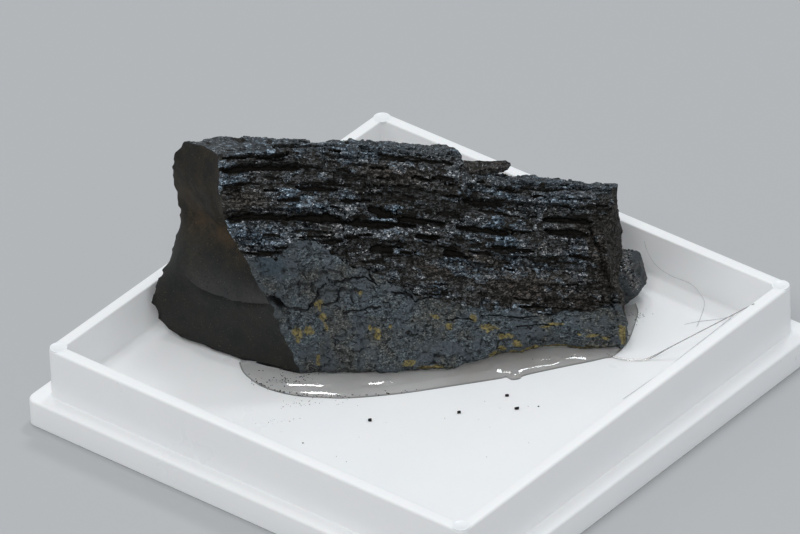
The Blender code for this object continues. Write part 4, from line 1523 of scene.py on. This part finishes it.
# %% The stone as a piece
def stone_to_tray(points):
    """Turn the stone's own frame onto the tray's floor."""
    p = np.asarray(points)
    c, s = math.cos(STONE_TURN), math.sin(STONE_TURN)
    return np.stack((p[..., 0] * c - p[..., 1] * s, p[..., 0] * s + p[..., 1] * c,
                     p[..., 2] + FLOOR_TOP), axis=-1)


stone = make_piece("vivianite_stone", stone_to_tray(stone_points), stone_faces, "vivianite",
                   crystal_layers(), smooth_break(), dull_layers(), slate_skin())
for name, values in stone_values.items():
    store(stone.data, name, values)
stone.data.polygons.foreach_set("material_index", face_kind)
stone.data.polygons.foreach_set("use_smooth", [kind == BREAK for kind in face_kind])
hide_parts("vivianite")

# %% [markdown]
# ## The glue
#
# Hot glue sets as a clear puddle: a round edge all along its outline, an even
# thickness, and a small climb where it wets the stone. Its outline is a curve through a
# few points on the tray's floor. Across it, the height rises in a round edge and rises
# again near the stone's foot.
#
# The bright streaks on wet-looking glue are mirror images of a lamp, and they show only
# where the surface leans just right. A few faint ripples do that here: each is a narrow
# strip that leans so that it mirrors one of the two small panels.

# %% Puddle outline and thickness
GLUE_THICK = 0.62
GLUE_EDGE = 2.8
GLUE_UNEVEN = 0.12
GLUE_CLIMB, CLIMB_WIDTH = 0.16, 0.4
# How much thinner the glue is at its right end
END_THINNING = 0.75
OUTLINE_POINTS = 200
# Outer points on the tray floor, and the points under the stone that they pair with
PUDDLE = (
    ((-18.15, 0.3), (-16.6, 1.6)), ((-17.8, -1.3), (-16.2, 1.2)), ((-17.1, -2.6), (-15.6, 0.9)),
    ((-15.9, -4.05), (-14.6, 0.4)), ((-14.15, -5.2), (-13.2, 0.1)), ((-12.2, -5.95), (-11.6, -0.4)),
    ((-10.0, -6.35), (-9.8, -0.6)), ((-7.25, -6.6), (-7.2, -0.8)), ((-2.3, -6.15), (-2.3, -0.6)),
    ((2.7, -5.2), (2.7, -0.4)), ((7.5, -4.2), (7.3, 0.8)), ((8.2, -3.95), (8.0, 1.0)),
    ((8.8, -4.45), (8.6, 1.1)), ((9.6, -4.3), (9.2, 1.2)), ((10.2, -3.75), (9.9, 1.3)),
    ((13.6, -2.66), (13.4, 1.5)), ((16.6, -1.8), (16.0, 1.8)), ((18.1, -1.3), (17.0, 2.0)),
    ((18.9, -1.05), (17.6, 2.2)), ((19.9, 0.25), (18.4, 2.6)), ((20.7, 1.95), (18.8, 3.4)),
    ((21.4, 4.85), (19.0, 4.4)), ((21.7, 6.7), (19.4, 5.8)), ((21.5, 8.2), (19.8, 7.2)),
)
FOOT = ((-18.1, 0.0), (-15.9, -0.9), (-12.1, -2.6), (-7.2, -2.9), (-2.2, -2.9), (2.7, -3.0),
        (6.5, -1.9), (7.8, -0.5), (11.0, 0.0), (17.7, -0.2), (20.2, 0.2), (20.6, 3.0))


def smooth_route(points, count):
    """A round curve through hand-placed points, sampled evenly by point number."""
    p = np.array(points, float)
    p = np.concatenate(([2 * p[0] - p[1]], p, [2 * p[-1] - p[-2]]))
    place = np.linspace(0, len(points) - 1.0001, count)
    k = np.floor(place).astype(int)
    u = (place - k).reshape(-1, *([1] * (p.ndim - 1)))
    return round_curve(p[k], p[k + 1], p[k + 2], p[k + 3], u)


# %% Height of the glue, with its ripples
# Start and end of each ripple's line, its half width, and its slope along x and y. They
# all shine but the fifth, which keeps a stretch of the edge dull.
STREAKS = (((-14.22, -4.22), (-9.38, -5.01), 0.30, (0.066, 0.374)),
           ((-12.13, -3.85), (-9.96, -4.16), 0.20, (0.067, 0.375)),
           ((-6.02, -4.97), (-3.15, -4.77), 0.30, (0.074, 0.375)),
           ((2.42, -3.39), (3.21, -3.67), 0.28, (-0.150, 0.281)),
           ((8.20, -3.15), (13.60, -1.90), 0.60, (-0.060, 0.160)),
           ((13.96, -1.66), (16.45, -1.34), 0.20, (-0.136, 0.281)),
           ((14.67, -1.19), (16.86, -0.94), 0.14, (-0.135, 0.281)))
RIPPLE_ROUND = 0.25


def smooth_puddle(place):
    """Glue height above the tray floor at (x, y) places, in millimetres, before its ripples."""
    outer = smooth_route([pair[0] for pair in PUDDLE], OUTLINE_POINTS)
    to_edge = distance_to(list(map(tuple, outer)), place[..., 0], place[..., 1])
    to_foot = distance_to(FOOT, place[..., 0], place[..., 1])
    u = np.clip(1 - to_edge / GLUE_EDGE, 0.0, 1.0)
    flat = np.append(place, np.zeros(place.shape[:-1] + (1,)), axis=-1)
    uneven = 1 + GLUE_UNEVEN * hills(flat * (1.0, 0.3, 1.0), 2.6, 81)
    thin_end = 1 - END_THINNING * smooth_step(place[..., 0], 18.0, 20.0)
    climb = GLUE_CLIMB * np.exp(-to_foot / CLIMB_WIDTH)
    return GLUE_THICK * thin_end * (1 - u * u) ** 0.8 * uneven + climb


def puddle_height(place):
    """The glue's height with its ripples, each a gently rounded strip with its own lean."""
    lift = smooth_puddle(place)
    for (x0, y0), (x1, y1), half_width, (lean_x, lean_y) in STREAKS:
        middle = np.array((((x0 + x1) / 2, (y0 + y1) / 2),))
        rise = (y1 - y0) / (x1 - x0)
        beside = place[..., 0] - middle[0, 0]
        off = place[..., 1] - middle[0, 1] - rise * beside
        strip = (smooth_puddle(middle)[0] + (lean_x + rise * lean_y) * beside
                 + lean_y * off - 0.5 * RIPPLE_ROUND * off ** 2)
        on_strip = np.exp(-np.abs(2 * beside / (x1 - x0)) ** 8 - (off / half_width) ** 4)
        lift = lift * (1 - on_strip) + strip * on_strip
    return lift


# %% Puddle mesh
ALONG = 300
ACROSS = 60
# Above 1, this sets the rows closer together near the puddle's edge
TOWARDS_EDGE = 1.7
UNDERSIDE = -0.02

pairs = smooth_route(PUDDLE, ALONG)
inward = (np.linspace(0, 1, ACROSS) ** TOWARDS_EDGE)[None, :, None]
top = pairs[:, 0:1] * (1 - inward) + pairs[:, 1:2] * inward
lift = puddle_height(top)
lift[:, 0] = 0.0
lift[0], lift[-1] = 0.0, 0.0
upper = np.concatenate((top, lift[..., None]), axis=-1)
under = np.stack((upper[:, -1], upper[:, ACROSS // 2], upper[:, 0]), axis=1).copy()
under[..., 2] = UNDERSIDE
rings = np.concatenate((upper, under), axis=1)
glue_points = rings.reshape(-1, 3)
glue_ring = rings.shape[1]
glue_faces = ring_faces(ALONG, glue_ring)
glue_faces += [tuple(range(glue_ring)), tuple(range(len(glue_points) - glue_ring, len(glue_points)))]

# %% [markdown]
# When the glue gun was pulled away it drew a thread from the puddle to the tray's rim.
# It is thick where it leaves the puddle, and thins to a hair. The same tube maker draws
# the three fine fibres that lie on the tray's floor and against its inner wall.

# %% Thread and fibres
THREAD = ((18.5, -1.0, 0.16), (19.6, -1.6, 0.15), (20.8, -1.9, 0.15), (22.35, -1.86, 0.17),
          (24.9, -1.42, 1.33), (28.3, -0.87, 2.91), (31.0, -0.42, 4.15), (33.05, -0.08, 5.1))
THREAD_RADII = (0.10, 0.12, 0.12, 0.11, 0.05, 0.05, 0.045, 0.04)
FIBRES = (
    ((22.65, 13.55, 3.77), (22.96, 13.29, 2.59), (23.8, 12.58, 1.41), (25.19, 11.42, 0.93),
     (27.02, 9.88, 0.97), (27.97, 9.08, 0.26), (28.36, 7.84, 0.06), (28.06, 5.9, 0.06),
     (27.42, 3.59, 0.06)),
    ((26.21, 4.07, 0.06), (27.56, 4.47, 0.06), (29.79, 4.81, 0.06), (31.13, 5.3, 0.06)),
    ((19.69, -8.47, 0.06), (23.7, -4.0, 0.06), (27.17, 0.3, 0.06), (30.9, 4.93, 0.06)),
)
FIBRE_RADIUS = 0.020
RINGS_PER_POINT = 12


def tube(route, radii, sides=10):
    """Rings of points round a smooth route, with radii spread evenly along it."""
    count = RINGS_PER_POINT * len(route)
    middle = smooth_route(route, count)
    thick = np.interp(np.linspace(0, 1, count), np.linspace(0, 1, len(radii)), radii)
    ahead = np.gradient(middle, axis=0)
    ahead /= np.linalg.norm(ahead, axis=1, keepdims=True)
    side = np.cross(ahead, (0.0, 0.0, 1.0))
    side /= np.linalg.norm(side, axis=1, keepdims=True)
    over = np.cross(side, ahead)
    angle = np.linspace(0, 2 * math.pi, sides, endpoint=False)
    ring = (np.cos(angle)[None, :, None] * side[:, None]
            + np.sin(angle)[None, :, None] * over[:, None])
    points = (middle[:, None] + ring * thick[:, None, None]).reshape(-1, 3)
    faces = ring_faces(count, sides)
    faces += [tuple(range(sides)), tuple(range(len(points) - sides, len(points)))]
    return points, faces


def add_form(points, faces, more_points, more_faces):
    """Join a second form's points and faces to the first one's."""
    first = len(points)
    faces = faces + [tuple(first + i for i in face) for face in more_faces]
    return np.concatenate((points, more_points)), faces


glue_points, glue_faces = add_form(glue_points, glue_faces, *tube(THREAD, THREAD_RADII))

# %% [markdown]
# The glue is clear, so its finish is plain transmission with the index of a hot-melt
# glue. It is tinted a little grey, more so from the middle to the right. A thin dark
# line of painted shade follows its rim, where the curved edge bends the light away, and
# the far part of the thread is painted dark for the same reason.

# %% Clear glue
RIM_WIDTH = 0.11


def clear_glue():
    """Plain transmission, tinted greyer to the right, with painted shade along the rim."""
    mat, tree, shader = new_material("clear hot glue")
    where = object_place(tree)
    uneven = noise_texture(tree, where, 220.0, detail=2.0)
    left_tint = ramp(tree, uneven, (0.35, (0.985, 0.968, 0.948)), (0.7, (1.0, 0.99, 0.975)))
    right_tint = ramp(tree, uneven, (0.35, (0.55, 0.52, 0.49)), (0.7, (0.67, 0.64, 0.61)))
    tint = blend(tree, attribute(tree, "greyer"), left_tint, right_tint)
    # Painted shade: a dark line along the rim and on the far part of the thread
    tint = blend(tree, attribute(tree, "painted_rim_shade"), tint, (0.16, 0.155, 0.15))
    join(tree, tint, shader.inputs["Base Color"])
    join(tree, bump(tree, uneven, 0.04, 0.0003), shader.inputs["Normal"])
    set_inputs(shader, Transmission_Weight=1.0, IOR=1.48, Roughness=0.03)
    return mat


# Where the rim's painted dark line lies, and how much of the far thread is painted dark
rim_shade_share = np.zeros((ALONG, glue_ring))
rim_shade_share[:, :ACROSS] = bell(np.linalg.norm(top - top[:, :1], axis=2), 0.0, RIM_WIDTH)
glue_x = rings[..., 0]
greyer_share = 0.45 * smooth_step(glue_x, -13.0, -7.0) + 0.40 * smooth_step(glue_x, 0.0, 5.0)
greyer_share *= 1 - 0.35 * smooth_step(glue_x, 9.0, 15.0)
greyer_share *= 1 - 0.9 * smooth_step(glue_x, 18.6, 19.4)
glue = make_piece("clear_glue", stone_to_tray(glue_points), glue_faces, "glue", clear_glue())
glue.data.shade_smooth()
far_thread_shade = 0.75 * smooth_step(glue_points[rim_shade_share.size:, 0], 21.5, 23.5)
for name, share, thread_share in (("painted_rim_shade", rim_shade_share, far_thread_shade),
                                  ("greyer", greyer_share, 0 * far_thread_shade)):
    store(glue.data, name, np.concatenate((share.reshape(-1), thread_share)))
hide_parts("glue")

# %% Fine fibres
fibre_finish = plain_finish("grey fibre", 700.0, (0.4, (0.38, 0.39, 0.41)),
                            (0.6, (0.56, 0.57, 0.59)), Roughness=0.4)
fibre_points, fibre_faces = np.zeros((0, 3)), []
for route in FIBRES:
    fibre_points, fibre_faces = add_form(fibre_points, fibre_faces,
                                         *tube(route, (FIBRE_RADIUS, FIBRE_RADIUS), 6))
make_piece("fine_fibres", stone_to_tray(fibre_points), fibre_faces, "glue", fibre_finish)

# %% [markdown]
# ## Loose grains
#
# Black crumbs have fallen off the stone. The larger ones lie where the photograph
# shows them, and a dusting of specks lies by the puddle's left end and in the glue.

# %% Crumbs and specks
CRUMBS = ((-5.35, -10.6, 0.21), (3.45, -9.8, 0.22), (8.25, -7.2, 0.19), (9.15, -9.5, 0.20),
          (11.3, -9.2, 0.09), (-12.0, -14.0, 0.09), (20.6, 2.4, 0.12), (21.4, 5.2, 0.09))
# Middle x and y, spread in x and y, lowest and highest z, how many
SPECK_FIELDS = ((-12.0, -7.2, 3.2, 0.8, 0.0, 0.0, 34), (-13.2, -3.4, 3.2, 1.6, 0.35, 0.55, 70),
                (-14.3, -10.0, 1.6, 0.7, 0.0, 0.0, 12), (21.7, 5.6, 1.1, 1.2, 0.0, 0.0, 34),
                (14.0, -1.4, 4.0, 0.5, 0.3, 0.5, 10), (2.0, -12.0, 14.0, 6.0, 0.0, 0.0, 16))
EDGE_SPECKS = 90
# Where a crumb's ball is cut flat, as a share of its radius
CRUMB_CUT = 0.72
SPECK_SIZE, EDGE_SPECK_SIZE = (0.02, 0.05), (0.03, 0.07)
# Specks in the glue look larger, because its surface magnifies them
IN_GLUE = 1.6


def crumb(x, y, z, size, seed):
    """A small angular grain: a ball with its points pulled in and out, and flattened."""
    points, faces = ball(2 if size > 0.15 else 1)
    p = np.array([v[:] for v in points])
    p = p * (1.0 + 0.35 * hills(p + seed * 3.1, 0.9, seed))[:, None]
    p = np.clip(p, -CRUMB_CUT, CRUMB_CUT)
    stretch = np.array((1.0 + 0.7 * scatter(seed, 1), 0.8, 0.7 + 0.3 * scatter(seed, 2)))
    return p * stretch * size + np.array((x, y, z + 0.55 * size)), faces


grain_points, grain_faces = np.zeros((0, 3)), []
for number, (x, y, size) in enumerate(CRUMBS):
    grain_points, grain_faces = add_form(grain_points, grain_faces, *crumb(x, y, 0.0, size, number))
dice = random.Random(5)
for x, y, wide, deep, low, high, count in SPECK_FIELDS:
    for _ in range(count):
        place = (dice.gauss(x, wide / 2), dice.gauss(y, deep / 2), dice.uniform(low, high))
        width = dice.uniform(*SPECK_SIZE) * (IN_GLUE if low > 0 else 1.0)
        grain_points, grain_faces = add_form(grain_points, grain_faces,
                                             *crumb(*place, width, dice.randrange(1000)))
# Specks along the puddle's outer edge, closest together at its left end
edge_points = [outer for outer, _ in PUDDLE[1:12]]
for _ in range(EDGE_SPECKS):
    x = -16.5 + 16.0 * dice.random() ** 1.6
    edge_y = float(np.interp(x, *zip(*edge_points)))
    place = (x, edge_y + abs(dice.gauss(0.0, 0.25)), dice.uniform(0.0, 0.2))
    width = dice.uniform(*EDGE_SPECK_SIZE)
    grain_points, grain_faces = add_form(grain_points, grain_faces,
                                         *crumb(*place, width, dice.randrange(1000)))

# %% Black grains
grain_finish = plain_finish("black grains", 2500.0, (0.4, (0.003, 0.003, 0.003)),
                            (0.65, (0.014, 0.015, 0.016)), Roughness=0.6, IOR=1.3)
make_piece("loose_grains", stone_to_tray(grain_points), grain_faces, "vivianite", grain_finish)
